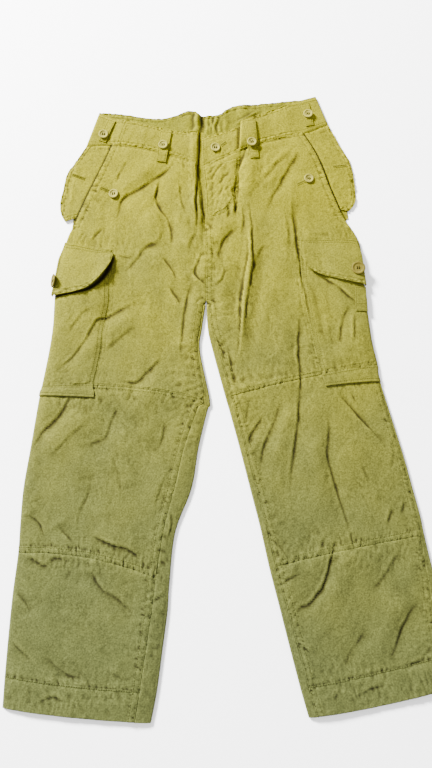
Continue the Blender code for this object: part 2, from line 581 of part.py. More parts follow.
def back_panel(name, leg, seat_gap):
    """A back panel: a plate on the floor, whose edges fold round onto the front.

    The inner edge folds round from the crotch down, and the left leg's outer one from the
    knee down. Where an edge has no fold, its path points all lie in one place.
    """
    crotch, knee = leg.index["crotch"], leg.index["knee_seam"]
    middle = CLOTH / 2
    across = np.array([0.0, -1.0, 0.0])
    outside, inside, has_outer, has_inner = [], [], [], []
    for row in range(len(leg.outer)):
        outer, inner = leg.back_outer[row], leg.back_inner[row]
        width = np.linalg.norm(inner - outer)
        inner_lip = outer_lip = None
        left = [(0.0, middle)] * LIP_POINTS
        right = [(width - seat_gap, middle)] * LIP_POINTS
        if row >= crotch:
            inner_lip = lip_path(leg, row, "inner", leg.inner_lip[row])
            right = [(width - d, z) for d, z in inner_lip]
        if leg.outwards > 0 and row >= knee:
            outer_lip = lip_path(leg, row, "outer", leg.outer_lip[row])
            left = outer_lip[::-1]
        start, end = left[-1][0], right[0][0]
        between = [(start + (end - start) * t, middle) for t in (1 / 3, 2 / 3)]
        path = left + between + right
        bow = leg.bow[row] if row > leg.index["slash_end"] else 0.0
        plan = np.array([bowed(outer, inner, bow, d) for d, _ in path])
        points = with_height(plan, [z for _, z in path])
        first = 0 if outer_lip else LIP_POINTS - 1
        last = len(path) if inner_lip else len(path) - LIP_POINTS + 1
        ends = [k for k, there in ((0, outer_lip), (last - first - 1, inner_lip)) if there]
        out, ins = offset_path(points[first:last], CLOTH, across, ends)
        out = np.concatenate([out[:1]] * first + [out] + [out[-1:]] * (len(path) - last))
        ins = np.concatenate([ins[:1]] * first + [ins] + [ins[-1:]] * (len(path) - last))
        outside.append(out)
        inside.append(ins)
        has_outer.append(outer_lip is not None)
        has_inner.append(inner_lip is not None)
    rows, columns = len(outside), len(outside[0])
    present = np.ones((rows - 1, columns - 1), bool)
    for row in range(rows - 1):
        present[row, : LIP_POINTS - 1] = has_outer[row]
        present[row, columns - LIP_POINTS :] = has_inner[row]
    return cloth_wall(name, np.array(outside), np.array(inside), present)


def front_panels(leg, side):
    """The front cloth of a leg, in the pieces that its cross seams leave."""
    pieces = (
        (f"front_panel_{side}", "waist", "knee_seam"),
        (f"knee_panel_{side}", "knee_seam", "shin_seam"),
        (f"shin_panel_{side}", "shin_seam", "hem_stitch"),
        (f"hem_band_{side}", "hem_stitch", "hem"),
    )
    for name, first, last in pieces:
        plan = pull_in(leg.front_grid(first, last))
        vertical_wall(name, plan, cloth_top(plan))


def cargo_pocket(leg, side):
    """The pocket's face, from the flap seam to the knee seam, and its deep hem below that.

    The face puffs out from the leg. It is low at its inner, stitched edge and at the flap seam.
    """
    columns = slice(0, POCKET_COLUMNS + 1)
    across = np.linspace(0, 1, POCKET_COLUMNS + 1)[None, :]
    face = pull_in(leg.front_grid("pocket_top", "knee_seam")[:, columns], 0.0)
    down = np.linspace(0, 1, len(face))[:, None]
    edges = smoothstep((1 - across) / 0.35) * (0.4 + 0.6 * smoothstep(across / 0.3))
    puff = POCKET_PUFF * edges * smoothstep(down / 0.2)
    vertical_wall(f"cargo_pocket_{side}", face, cloth_top(face) + GAP + CLOTH + puff)
    ends = leg.front_grid("knee_seam", "pocket_bottom")[:, columns]
    heights = cloth_top(ends) + GAP + CLOTH
    hem = np.stack([ends[0], ends.mean(axis=0), ends[-1]])
    base = np.stack([heights[0], heights.mean(axis=0), heights[-1]])
    vertical_wall(f"pocket_hem_{side}", pull_in(hem, SEAM, 0.0), base + np.array(HEM_LIFT)[:, None])


def tops(names):
    """One search tree for each named piece, in millimetres."""
    trees = []
    for name in names:
        mesh = bpy.data.objects[name].data
        points = [v.co / MM for v in mesh.vertices]
        trees.append(BVHTree.FromPolygons(points, [tuple(p.vertices) for p in mesh.polygons]))
    return trees


def height_over(trees, x, y):
    """The highest face over a point of the plan, or the floor."""
    highest = 0.0
    for tree in trees:
        hit = tree.ray_cast(Vector((x, y, 200.0)), Vector((0, 0, -1)))[0]
        if hit is not None:
            highest = max(highest, hit.z)
    return highest


def rest_height(trees, plan, spread):
    """The support under each point of the plan: the highest within a small spread around it."""
    heights = np.zeros(plan.shape[:-1])
    around = [(0.0, 0.0)]
    around += [(spread * math.cos(a), spread * math.sin(a)) for a in np.arange(8) * math.pi / 4]
    for place in np.ndindex(heights.shape):
        x, y = plan[place]
        heights[place] = max(height_over(trees, x + dx, y + dy) for dx, dy in around)
    return heights


def rows_between(rows, columns):
    """A plan grid with the given number of cells between the two ends of each row."""
    rows = np.array(rows, float)
    t = np.linspace(0, 1, columns + 1)[None, :, None]
    return rows[:, None, 0:2] * (1 - t) + rows[:, None, 2:4] * t


def hip_flap(name, leg, rows):
    """A hip pocket's flap: it lies on the back panel and beyond it droops to the floor."""
    plan = rows_between(rows, 7)
    distance, side, _ = to_segments(plan, leg.back_outer)
    outside = distance * side * leg.outwards
    raised = smoothstep((DROOP_END - outside) / (DROOP_END - DROOP_START))
    bottom = (CLOTH + GAP) * raised
    vertical_wall(name, plan, bottom + CLOTH)


def side_turn(edge, radius):
    """Rows that carry an edge on round a quarter circle towards -X, and then straight down."""
    turned = [edge + radius * np.array([-math.sin(a), 0.0, math.cos(a) - 1]) for a in np.radians((90, 45))]
    foot = turned[0].copy()
    foot[:, 2] = FLAP_TURN
    return np.array([foot] + turned)


def cargo_flap(name, supports, columns, turned=False):
    """A pocket flap, whose side edge folds down round the leg where turned is given."""
    grid = rows_between(columns, 6)
    bottom = rest_height(tops(supports), grid, REST_SPREAD) + GAP
    down = np.linspace(0, 1, grid.shape[1])[None, :]
    top = bottom + CLOTH + FLAP_RISE * down**2
    outside, inside = with_height(grid, top), with_height(grid, top - CLOTH)
    if turned:
        outside = np.concatenate([side_turn(outside[0], GAP + CLOTH), outside])
        inside = np.concatenate([side_turn(inside[0], GAP), inside])
    cloth_wall(name, outside, inside)


def waistband_back():
    """The doubled band round the back, whose inner face shows over the front band."""
    top = np.array(BACK_BAND_TOP, float)
    seam_x = np.interp(top[:, 0], (-240, -41, 162), (-262, -41, 184))
    seam_x[np.argmin(abs(seam_x + 41))] = -41
    seam_y = np.interp(seam_x, (-262, -41, 184), (420, 441, 467)) + GAP
    bottom = np.stack([seam_x, seam_y], axis=1)
    plan = np.stack([bottom, (bottom + top) / 2, top])
    height = np.full(plan.shape[:-1], BAND)
    vertical_wall("waistband_back", plan, height, BAND)


def waistband_right():
    seam = RIGHT.front_grid("waist", "slash_middle")[0]
    seam = seam + (0, BAND_SEAM)
    side = np.linspace(RIGHT_BAND_SIDE, seam[0], 4)[:-1]
    bottom = np.concatenate([side, seam])
    along = (bottom[:, 0] - bottom[0, 0]) / (bottom[-1, 0] - bottom[0, 0])
    edge = np.array(RIGHT_BAND_TOP, float)
    top_x = edge[0, 0] + along * (edge[-1, 0] - edge[0, 0])
    top = np.stack([top_x, np.interp(top_x, edge[:, 0], edge[:, 1])], axis=1)
    plan = np.stack([bottom * (1 - t) + top * t for t in np.linspace(0, 1, 4)])
    vertical_wall("waistband_right", plan, cloth_top(plan) + BAND - CLOTH)


def waistband_left():
    """The left front band, in one wall with its Z pleat."""
    seam = LEFT.front_grid("waist", "slash_middle")[0][::-1]
    seam_x = np.concatenate([seam[:, 0], [LEFT_BAND_SIDE[0]]])
    seam_y = np.concatenate([seam[:, 1] + BAND_SEAM, [LEFT_BAND_SIDE[1]]])
    pitch = CLOTH + LAYER
    columns = []
    for this, following in zip(LEFT_BAND, LEFT_BAND[1:] + (None,)):
        columns.append((this.bottom_x, this.top_x, this.top_y, this.layer * pitch))
        turns = following and following.layer > this.layer
        if turns:
            bulge = pitch / 2 if this.layer == 0 else -pitch / 2
            for angle in (-45, 0, 45):
                out = bulge * math.cos(math.radians(angle))
                lift = (this.layer + 0.5 + 0.5 * math.sin(math.radians(angle))) * pitch
                x, top_x = this.bottom_x + out, this.top_x + out
                columns.append((x, top_x, this.top_y + 0.5, lift))
    columns = np.array(columns)
    bottom = np.stack([columns[:, 0], np.interp(columns[:, 0], seam_x, seam_y)], axis=1)
    outside, inside = [], []
    for t in np.linspace(0, 1, 4):
        plan = bottom * (1 - t) + columns[:, 1:3] * t
        middle = cloth_top(plan) + BAND - CLOTH - CLOTH / 2
        fold = (columns[:, 0] > 15) & (columns[:, 0] < 40)
        middle = np.where(fold, middle[fold].mean(), middle) + columns[:, 3]
        ends = (0, len(columns) - 1)
        out, ins = offset_path(with_height(plan, middle), CLOTH, np.array([0.0, 1.0, 0.0]), ends)
        outside.append(out)
        inside.append(ins)
    cloth_wall("waistband_left", np.array(outside), np.array(inside))


def fly_facing():
    plan = rows_between(FLY_ROWS, 4)
    bottom = rest_height(tops(["front_panel_left"]), plan, REST_SPREAD) + GAP
    vertical_wall("fly_facing", plan, bottom + CLOTH)


def strap(shape, supports, arch):
    """A strap that follows what it lies on, arched a little between its ends."""
    top = np.array([shape.top_x, shape.top_y], float)
    bottom = np.array([shape.bottom_x, shape.bottom_y], float)
    direction = (bottom - top) / np.linalg.norm(bottom - top)
    across = np.array([-direction[1], direction[0]])
    t = np.linspace(0, 1, 8)[:, None, None]
    width = shape.top_width * (1 - t) + shape.bottom_width * t
    side = np.linspace(-0.5, 0.5, 3)[None, :, None]
    plan = top * (1 - t) + bottom * t + across * width * side
    height = rest_height(tops(supports), plan, REST_SPREAD) + GAP + CLOTH
    height = height + arch * 4 * t[:, :, 0] * (1 - t[:, :, 0])
    vertical_wall(shape.name, plan, height)


def button_shape(diameter):
    """Half section of a dished button with a raised rim, as (radius, height) from axis to axis."""
    radius = diameter / 2
    return (
        (0.55 * radius, 0.0),
        (0.92 * radius, 0.7),
        (radius, 1.7),
        (0.93 * radius, BUTTON_HEIGHT),
        (0.76 * radius, BUTTON_HEIGHT),
        (0.60 * radius, 0.66 * BUTTON_HEIGHT),
    )


def add_button(name, place, diameter, colour, tilt=0.0):
    profile = button_shape(diameter)
    points, faces = [], []
    for radius, height in profile:
        for k in range(BUTTON_SIDES):
            angle = 2 * math.pi * k / BUTTON_SIDES
            points.append((radius * math.cos(angle), radius * math.sin(angle), height))
    for ring in range(len(profile) - 1):
        for k in range(BUTTON_SIDES):
            a, b = ring * BUTTON_SIDES + k, ring * BUTTON_SIDES + (k + 1) % BUTTON_SIDES
            faces.append((a, b, b + BUTTON_SIDES, a + BUTTON_SIDES))
    last = (len(profile) - 1) * BUTTON_SIDES
    faces.append(tuple(range(BUTTON_SIDES))[::-1])
    faces.append(tuple(range(last, last + BUTTON_SIDES)))
    made = add_solid(name, points, faces, colour, 0.45)
    made.location = made.location + Vector(place) * MM
    made.rotation_euler = Euler((0.0, tilt, 0.0))
    return made


def buttons():
    """The flat-lying buttons, each on the highest cloth below it."""
    angles = np.arange(BUTTON_SIDES) * 2 * math.pi / BUTTON_SIDES
    for button in BUTTONS:
        tree = tops([button.seats])
        under = 0.0
        for radius in np.array(BUTTON_PROBES) * button.diameter / 2:
            for x, y in zip(button.x + radius * np.cos(angles), button.y + radius * np.sin(angles)):
                under = max(under, height_over(tree, x, y))
        colour = TAN if "cargo" in button.name else HORN
        add_button(button.name, (button.x, button.y, under + GAP), button.diameter, colour)


def side_button():
    """The right cargo pocket's button, on the fold of its flap and facing out and up."""
    first = RIGHT_CARGO_FLAP[0]
    down = (first.top_y - CARGO_BUTTON_Y) / (first.top_y - first.bottom_y)
    edge_x = first.top_x + down * (first.bottom_x - first.top_x)
    top = height_over(tops(["cargo_flap_right"]), edge_x, CARGO_BUTTON_Y - CARGO_BUTTON / 4)
    outwards = Vector((-math.sin(CARGO_BUTTON_TILT), 0.0, math.cos(CARGO_BUTTON_TILT)))
    upwards = Vector((math.cos(CARGO_BUTTON_TILT), 0.0, math.sin(CARGO_BUTTON_TILT)))
    fold = Vector((edge_x, CARGO_BUTTON_Y, top - CLOTH - GAP))
    place = fold + outwards * (CLOTH + 3 * GAP) + upwards * CARGO_BUTTON_RAISE
    add_button("button_cargo_right", place, CARGO_BUTTON, TAN, -CARGO_BUTTON_TILT)


def main():
    clear_scene()
    back_panel("back_panel_right", RIGHT, SEAM)
    back_panel("back_panel_left", LEFT, SEAM)
    waistband_back()
    for leg, side in ((RIGHT, "right"), (LEFT, "left")):
        front_panels(leg, side)
        cargo_pocket(leg, side)
    hip_flap("hip_flap_right", RIGHT, RIGHT_HIP_FLAP)
    hip_flap("hip_flap_left", LEFT, LEFT_HIP_FLAP)
    waistband_right()
    waistband_left()
    fly_facing()
    strap(POCKET_PLEAT, ["cargo_pocket_left"], 0.0)
    under_right = ["front_panel_right", "cargo_pocket_right"]
    under_left = ["front_panel_left", "cargo_pocket_left", "pocket_pleat_left"]
    cargo_flap("cargo_flap_right", under_right, RIGHT_CARGO_FLAP, turned=True)
    cargo_flap("cargo_flap_left", under_left, LEFT_CARGO_FLAP)
    bands = ["waistband_right", "waistband_left", "waistband_back"]
    for loop in BELT_LOOPS:
        strap(loop, bands + ["front_panel_right", "front_panel_left", "fly_facing"], LOOP_ARCH)
    buttons()
    side_button()


main()
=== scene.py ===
"""Cargo trousers laid flat on their back: cloth, sewing, buttons and finish.

Every size is in millimetres until it goes into a mesh. The plan is the plane z = 0 that the
trousers lie on: the waist is at +Y, the hems at -Y and the wearer's right at -X. Each piece of cloth
is a surface with two parameters, worked out as whole arrays and then given its thickness.
"""

from __future__ import annotations

import logging
import math
from dataclasses import dataclass, field
from enum import Enum
from typing import NamedTuple, Sequence

import bpy
import numpy as np
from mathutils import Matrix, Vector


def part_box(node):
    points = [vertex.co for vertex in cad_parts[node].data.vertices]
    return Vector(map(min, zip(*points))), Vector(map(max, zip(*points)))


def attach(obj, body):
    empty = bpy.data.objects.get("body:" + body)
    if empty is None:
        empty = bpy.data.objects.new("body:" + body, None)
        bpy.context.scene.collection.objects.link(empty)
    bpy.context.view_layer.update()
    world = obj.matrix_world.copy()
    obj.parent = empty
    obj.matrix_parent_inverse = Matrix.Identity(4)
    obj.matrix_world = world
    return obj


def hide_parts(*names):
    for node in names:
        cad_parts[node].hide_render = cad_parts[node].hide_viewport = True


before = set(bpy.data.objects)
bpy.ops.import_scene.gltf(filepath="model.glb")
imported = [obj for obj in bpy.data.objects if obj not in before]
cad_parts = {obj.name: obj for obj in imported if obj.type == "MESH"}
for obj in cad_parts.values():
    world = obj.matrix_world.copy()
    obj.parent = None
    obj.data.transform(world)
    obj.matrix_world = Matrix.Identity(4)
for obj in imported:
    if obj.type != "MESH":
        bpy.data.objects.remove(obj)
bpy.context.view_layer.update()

Array = np.ndarray
Socket = bpy.types.NodeSocket
Piece = bpy.types.Object
LOG = logging.getLogger("cargo_trousers")
BODY = "root"
MM = 0.001
UP = (0.0, 0.0, 1.0)
CENTRE = (-0.508, -0.015)  # moves the finished outline onto the middle of its own box

CLOTH = 0.8  # wall of one cloth
DOUBLE = 1.4  # wall of a doubled piece: band, flap, loop
EDGE_TOP = 3.6  # height of the front cloth where it meets the folded side edges
LOFT = 3.2  # how far the front cloth rises inside those edges
LOFT_LENGTH = 8.0  # how fast it rises
FOLD_EDGE = 25.0  # folds grow to their full height this far inside a folded side edge
SLASH_LIFT = 5.6  # height of the front cloth along the open hip pockets
SLASH_REACH = 22.0  # width of the strip that is held up by their facing
SLASH_BLEND = 10.0
LOWEST_TOP = 2.0  # the front cloth never sinks below this
LOWEST_FACE = 1.65  # nor does any edge of it that runs on under a neighbour
POCKET_LEVEL = 1.9  # height of a cargo pocket's face over the leg at its sewn edges
POCKET_PUFF = 2.2
BAND_SINK = 0.7  # how far a band's middle lies below the front cloth's own level
MOUTH_DEPTH = 2.4  # how far the right pocket's face sags away from its flap's free edge
HEM_LIFT = (0.2, 0.9, 1.4)  # the pocket hem's rise over the leg, from its seam to its free edge
PITCH = 2.6  # spacing of the grid on the leg
FELL = 0.4  # how far a lapped seam stands up
FELL_WIDTH = 13.0
TUCKED = 0.9  # how far cloth that runs on under its neighbour lies below it
UNDERLAP = 3.0
STITCH_LIFT = 0.12  # how far a stitch's middle lies above its cloth
TOPSTITCH = (2.2, 8.0)  # a doubled piece's two rows of stitches, from its edge
BUTTONHOLE_WIDTH = 3.2
HOLE_SIZE = (0.85, 0.75, 0.26)  # half length, half width and half depth of the dark lozenge that paints the shade of a needle's hole
CREASE_SCALE = 1.65
CREASE_TAPER = 0.3  # share of a crease's length over which each end fades
FOLD_SCALE = 0.62
FOLD_SPREAD = 1.2
CRUMPLE = 0.95
RUMPLE_SCALE = 1.5
RUB_AND_SHADE_HEIGHT = 0.8  # a ridge this far above its neighbours is fully rubbed pale, and a hollow this far below them fully darkened by painted shade
THIN_RIM = 0.1  # wall of a doubled piece at its very rim
RIM_ROUNDING = 0.8  # how far inside its rim it has its full wall
LEAST_SHARE = 0.31  # a sheet's declared area is never a smaller share of its cut
NOISE_RANGE = (0.3, 0.7)  # where nearly all of a noise node's values lie
DYE_AND_FALLOFF_RANGE = (-0.50, 0.34)  # from the hem to the waist, in metres: the colour's own change from green to yellow, and painted shade towards the hem


# ---------------------------------------------------------------- tables of the cut


class Wave(NamedTuple):
    """A slow wave of the front cloth: its height, and the lengths over which x and y turn its phase."""

    height: float
    x_length: float
    y_length: float


class Fold(NamedTuple):
    """A large fold: ridge or trough height, its spread to the left and right of its line, and the line."""

    height: float
    left: float
    right: float
    points: Array


class Crease(NamedTuple):
    """A fine crease: a short cliff from its raised bank into a hollow, both of which fade over its reach.

    The bank is 1 where the cloth is raised towards the upper left of the crease, and -1 where away from it.
    """

    depth: float
    width: float
    bank: int
    reach: float
    points: Array


class Rumple(NamedTuple):
    """A patch where the cloth is most crinkled, and the direction in degrees that its crinkles run in."""

    x: float
    y: float
    half_width: float
    half_length: float
    height: float
    turn: float


class BandColumn(NamedTuple):
    """One column of the left front band and the layer of its pleat."""

    bottom_x: float
    top_x: float
    top_y: float
    layer: int


class Strap(NamedTuple):
    """A strap, sewn at its top and buttoned at its foot."""

    name: str
    top_x: float
    top_y: float
    top_width: float
    bottom_x: float
    bottom_y: float
    bottom_width: float


class ButtonPlace(NamedTuple):
    """Where a button lies, and its diameter."""

    name: str
    x: float
    y: float
    diameter: float


def lined(kind: type, sizes: int, rows: Sequence[tuple]) -> tuple:
    """Reads rows that hold some sizes, and then the x and y of a line's points in turn."""
    return tuple(kind(*row[:sizes], np.reshape(row[sizes:], (-1, 2)).astype(float)) for row in rows)


WAVES = (Wave(0.5, 31, 57), Wave(0.4, -83, 37))

# Cross sections of the legs, from the side seam or slanted pocket to the inside of the leg: x and y of
# the outer end, x and y of the inner end, how far the row's middle is bowed up, the widths of back
# cloth that are folded onto the front at the inner and the outer edge, and what the pocket covers.
RIGHT_SECTIONS = {
    "waist": (-215, 427, -58, 387, 8, 0, 0, 60),
    "slash_middle": (-235, 376, -55, 345, 4, 0, 0, 68),
    "slash_low": (-256, 325, -51, 303, 0, 0, 0, 76),
    "slash_end": (-278, 265, -43, 262, 0, 0, 0, 84),
    "pocket_top": (-289, 232, -40, 205, -4, 0, 0, 84),
    "rise": (-300, 160, -41, 152, 0, 0, 0, 92),
    "crotch": (-301, 122, -42, 120, 0, 4, 0, 93),
    "thigh": (-301, 80, -48, 76, 0, 4, 0, 86),
    "thigh_low": (-305, 35, -51, 38, 2, 4, 0, 87),
    "knee_seam": (-313, -22, -34, -47, 11, 10, 0, 86),
    "pocket_bottom": (-317, -40, -38, -64, 5, 17, 0, 92),
    "calf_high": (-326, -125, -52, -124, 0, 24, 0, 90),
    "calf": (-333, -190, -63, -190, 0, 28, 0, 90),
    "calf_low": (-334, -245, -88, -258, 5, 19, 0, 90),
    "shin_seam": (-334, -289, -96, -335, 14, 22, 0, 86),
    "shin_high": (-338, -350, -98, -374, 8, 24, 0, 82),
    "shin_low": (-340, -410, -104, -424, 2, 25, 0, 80),
    "hem_stitch": (-341, -466, -112, -488, -4, 26, 0, 76),
    "hem": (-341, -510, -120, -530, -3, 24, 0, 74),
}
LEFT_SECTIONS = {
    "waist": (138, 450, -48, 383, 10, 0, 0, 70),
    "slash_middle": (162, 403, -44, 350, 5, 0, 0, 78),
    "slash_low": (180, 346, -42, 306, 0, 0, 0, 86),
    "slash_end": (203, 284, -43, 262, 0, 0, 0, 94),
    "pocket_top": (227, 238, -40, 206, 9, 0, 0, 106),
    "rise": (232, 165, -41, 152, 0, 0, 0, 107),
    "crotch": (234, 122, -40, 120, 0, 4, 0, 106),
    "thigh": (237, 83, -38, 76, 0, 8, 0, 101),
    "thigh_low": (240, 52, -29, 36, 0, 10, 0, 99),
    "knee_seam": (247, 12, -8, -43, 5, 10, 4, 97),
    "pocket_bottom": (250, -16, -2, -64, 10, 10, 4, 94),
    "calf_high": (279, -133, 15, -128, 0, 10, 4, 92),
    "calf": (291, -190, 32, -196, 0, 10, 5, 90),
    "calf_low": (300, -233, 46, -252, 0, 10, 6, 88),
    "shin_seam": (304, -262, 59, -312, 3, 10, 8, 84),
    "shin_high": (315, -326, 72, -364, 0, 11, 12, 80),
    "shin_low": (327, -388, 86, -421, 0, 12, 20, 76),
    "hem_stitch": (337, -434, 102, -484, -3, 12, 25, 72),
    "hem": (342, -478, 113, -523, -5, 12, 26, 70),
}

# The seam down the middle of the body, below the fly, as (y, x). Both legs end on it.
CENTRE_SEAM = ((120, -41), (152, -41), (205, -40), (262, -43))

# Where the back panels run above the end of the hip pockets: side x and y, seat x and y.
RIGHT_BACK = ((-262, 420, -41, 441), (-268, 376, -41, 380), (-274, 325, -42, 318), (-279, 266, -43, 262))
LEFT_BACK = ((184, 467, -41, 441), (198, 412, -41, 380), (206, 348, -42, 318), (212, 281, -43, 262))

# The largest folds of the front cloth.
FOLDS = lined(Fold, 3, (
    # the fly
    (-4.2, 8, 8, -50, 530, -51, 475, -52, 440, -54, 400, -57, 330),
    (4.2, 11, 6, -64, 560, -65, 474, -66, 430, -66, 380, -66, 330, -64, 240),
    (-8.5, 15, 5, -51, 440, -49, 383, -45, 345, -43, 306, -44, 262, -46, 225),
    (2.4, 12, 16, -86, 445, -92, 380, -90, 320),
    # right hip
    (-3.0, 10, 12, -97, 408, -111, 378, -159, 340, -191, 318, -206, 269),
    (2.6, 15, 15, -112, 400, -172, 355, -212, 320),
    # right rise and crotch
    (-3.2, 13, 11, -130, 360, -131, 318, -112, 278, -102, 240, -106, 205),
    (3.2, 14, 14, -88, 300, -80, 255, -82, 215),
    (3.0, 14, 14, -146, 300, -134, 262, -133, 225),
    (-2.2, 14, 14, -112, 260, -145, 227, -191, 172),
    (4.2, 12, 12, -44, 214, -50, 185, -44, 160),
    (-3.2, 9, 10, -42, 221, -60, 190, -70, 150, -79, 101, -83, 40),
    (3.6, 13, 13, -62, 150, -64, 95, -66, 25),
    (-2.6, 9, 12, -120, 210, -104, 185, -84, 114),
    # right pocket
    (-3.4, 11, 12, -143, 132, -205, 98, -241, 60, -297, -8),
    (3.0, 16, 16, -150, 110, -212, 72, -256, 22),
    # right knee
    (-2.4, 9, 10, -125, 15, -154, -16, -176, -15),
    (2.6, 14, 14, -110, -2, -136, -30, -160, -80),
    # right calf
    (-3.4, 11, 12, -262, -40, -281, -72, -309, -103, -328, -135),
    (3.2, 14, 16, -240, -58, -268, -98, -300, -132),
    (-2.6, 14, 18, -176, -47, -195, -80, -212, -112, -254, -126),
    (-2.0, 13, 13, -224, -150, -231, -201, -242, -250),
    (-2.4, 14, 14, -108, -75, -112, -105, -134, -140),
    # right shin and hem
    (-3.0, 9, 11, -334, -230, -312, -235, -298, -252, -286, -290),
    (-2.6, 10, 12, -276, -243, -244, -278, -200, -300),
    (3.4, 13, 11, -222, -252, -186, -262, -142, -280),
    (-2.6, 14, 12, -224, -306, -200, -342, -159, -371, -138, -388),
    (2.6, 15, 15, -236, -322, -206, -368, -160, -398),
    (-2.6, 11, 11, -290, -432, -263, -452, -215, -472),
    (-2.2, 11, 11, -340, -345, -318, -362, -306, -384),
    # left hip
    (-3.2, 9, 13, 128, 418, 101, 368, 75, 318),
    (2.8, 14, 14, 112, 430, 84, 380, 58, 335),
    (-1.8, 11, 13, 100, 424, 70, 374, 37, 330),
    # the pleat and the fly
    (-4.8, 8, 8, 31, 425, 20, 390, 16, 350, 12, 305),
    (4.4, 11, 12, 44, 420, 36, 370, 32, 320),
    (-3.0, 9, 10, 20, 268, 0, 252, -14, 230, -22, 195),
    (3.2, 11, 11, 8, 290, -12, 262, -28, 232),
    # left inner thigh
    (4.2, 11, 11, 34, 300, 39, 250, 32, 175, 20, 90, 8, 10),
    (-2.6, 11, 13, 58, 240, 50, 175, 36, 90, 24, 15),
    (-2.8, 11, 11, 16, 210, 13, 150, 6, 80),
    (3.0, 11, 11, -16, 190, -16, 120, -8, 50),
    (-2.6, 9, 9, -18, 60, -4, 15, 8, -36),
    # left pocket and thigh
    (-3.0, 11, 11, 118, 330, 116, 269, 124, 215, 136, 125),
    (-8.0, 20, 13, 134, 245, 142, 200, 150, 150, 162, 90, 176, 20),
    (2.4, 14, 14, 98, 310, 94, 240, 96, 160),
    (-3.2, 11, 12, 121, 134, 115, 60, 116, -13, 106, -113, 92, -209),
    (2.6, 14, 14, 90, 110, 84, 30, 76, -50),
    (-2.8, 11, 12, 143, 174, 188, 148, 237, 103),
    (-2.2, 11, 11, 207, 123, 190, 90, 183, 40),
    # left knee
    (-3.0, 10, 12, 88, -36, 68, -88, 50, -135, 36, -181),
    (-2.8, 9, 10, 54, -70, 36, -100, 24, -128),
    (2.8, 12, 12, 104, -46, 88, -100, 70, -150),
    (-2.4, 10, 12, 174, -28, 208, -72, 258, -132),
    # left calf
    (-3.2, 10, 11, 156, -60, 156, -138, 168, -200, 182, -248, 177, -280),
    (3.0, 13, 13, 138, -80, 138, -160, 148, -230),
    # left shin and hem
    (-3.6, 10, 10, 166, -258, 152, -305, 134, -345, 108, -370, 86, -386),
    (3.4, 13, 13, 186, -276, 172, -318, 150, -358),
    (-2.4, 14, 14, 266, -276, 246, -308, 212, -352),
    (-3.0, 12, 13, 290, -352, 265, -386, 244, -430, 232, -456),
    (2.6, 14, 14, 270, -346, 240, -390, 214, -440),
    (-2.8, 12, 12, 206, -396, 182, -428, 166, -460),
    (-2.4, 11, 11, 304, -418, 281, -445, 258, -454),
))  # fmt: skip

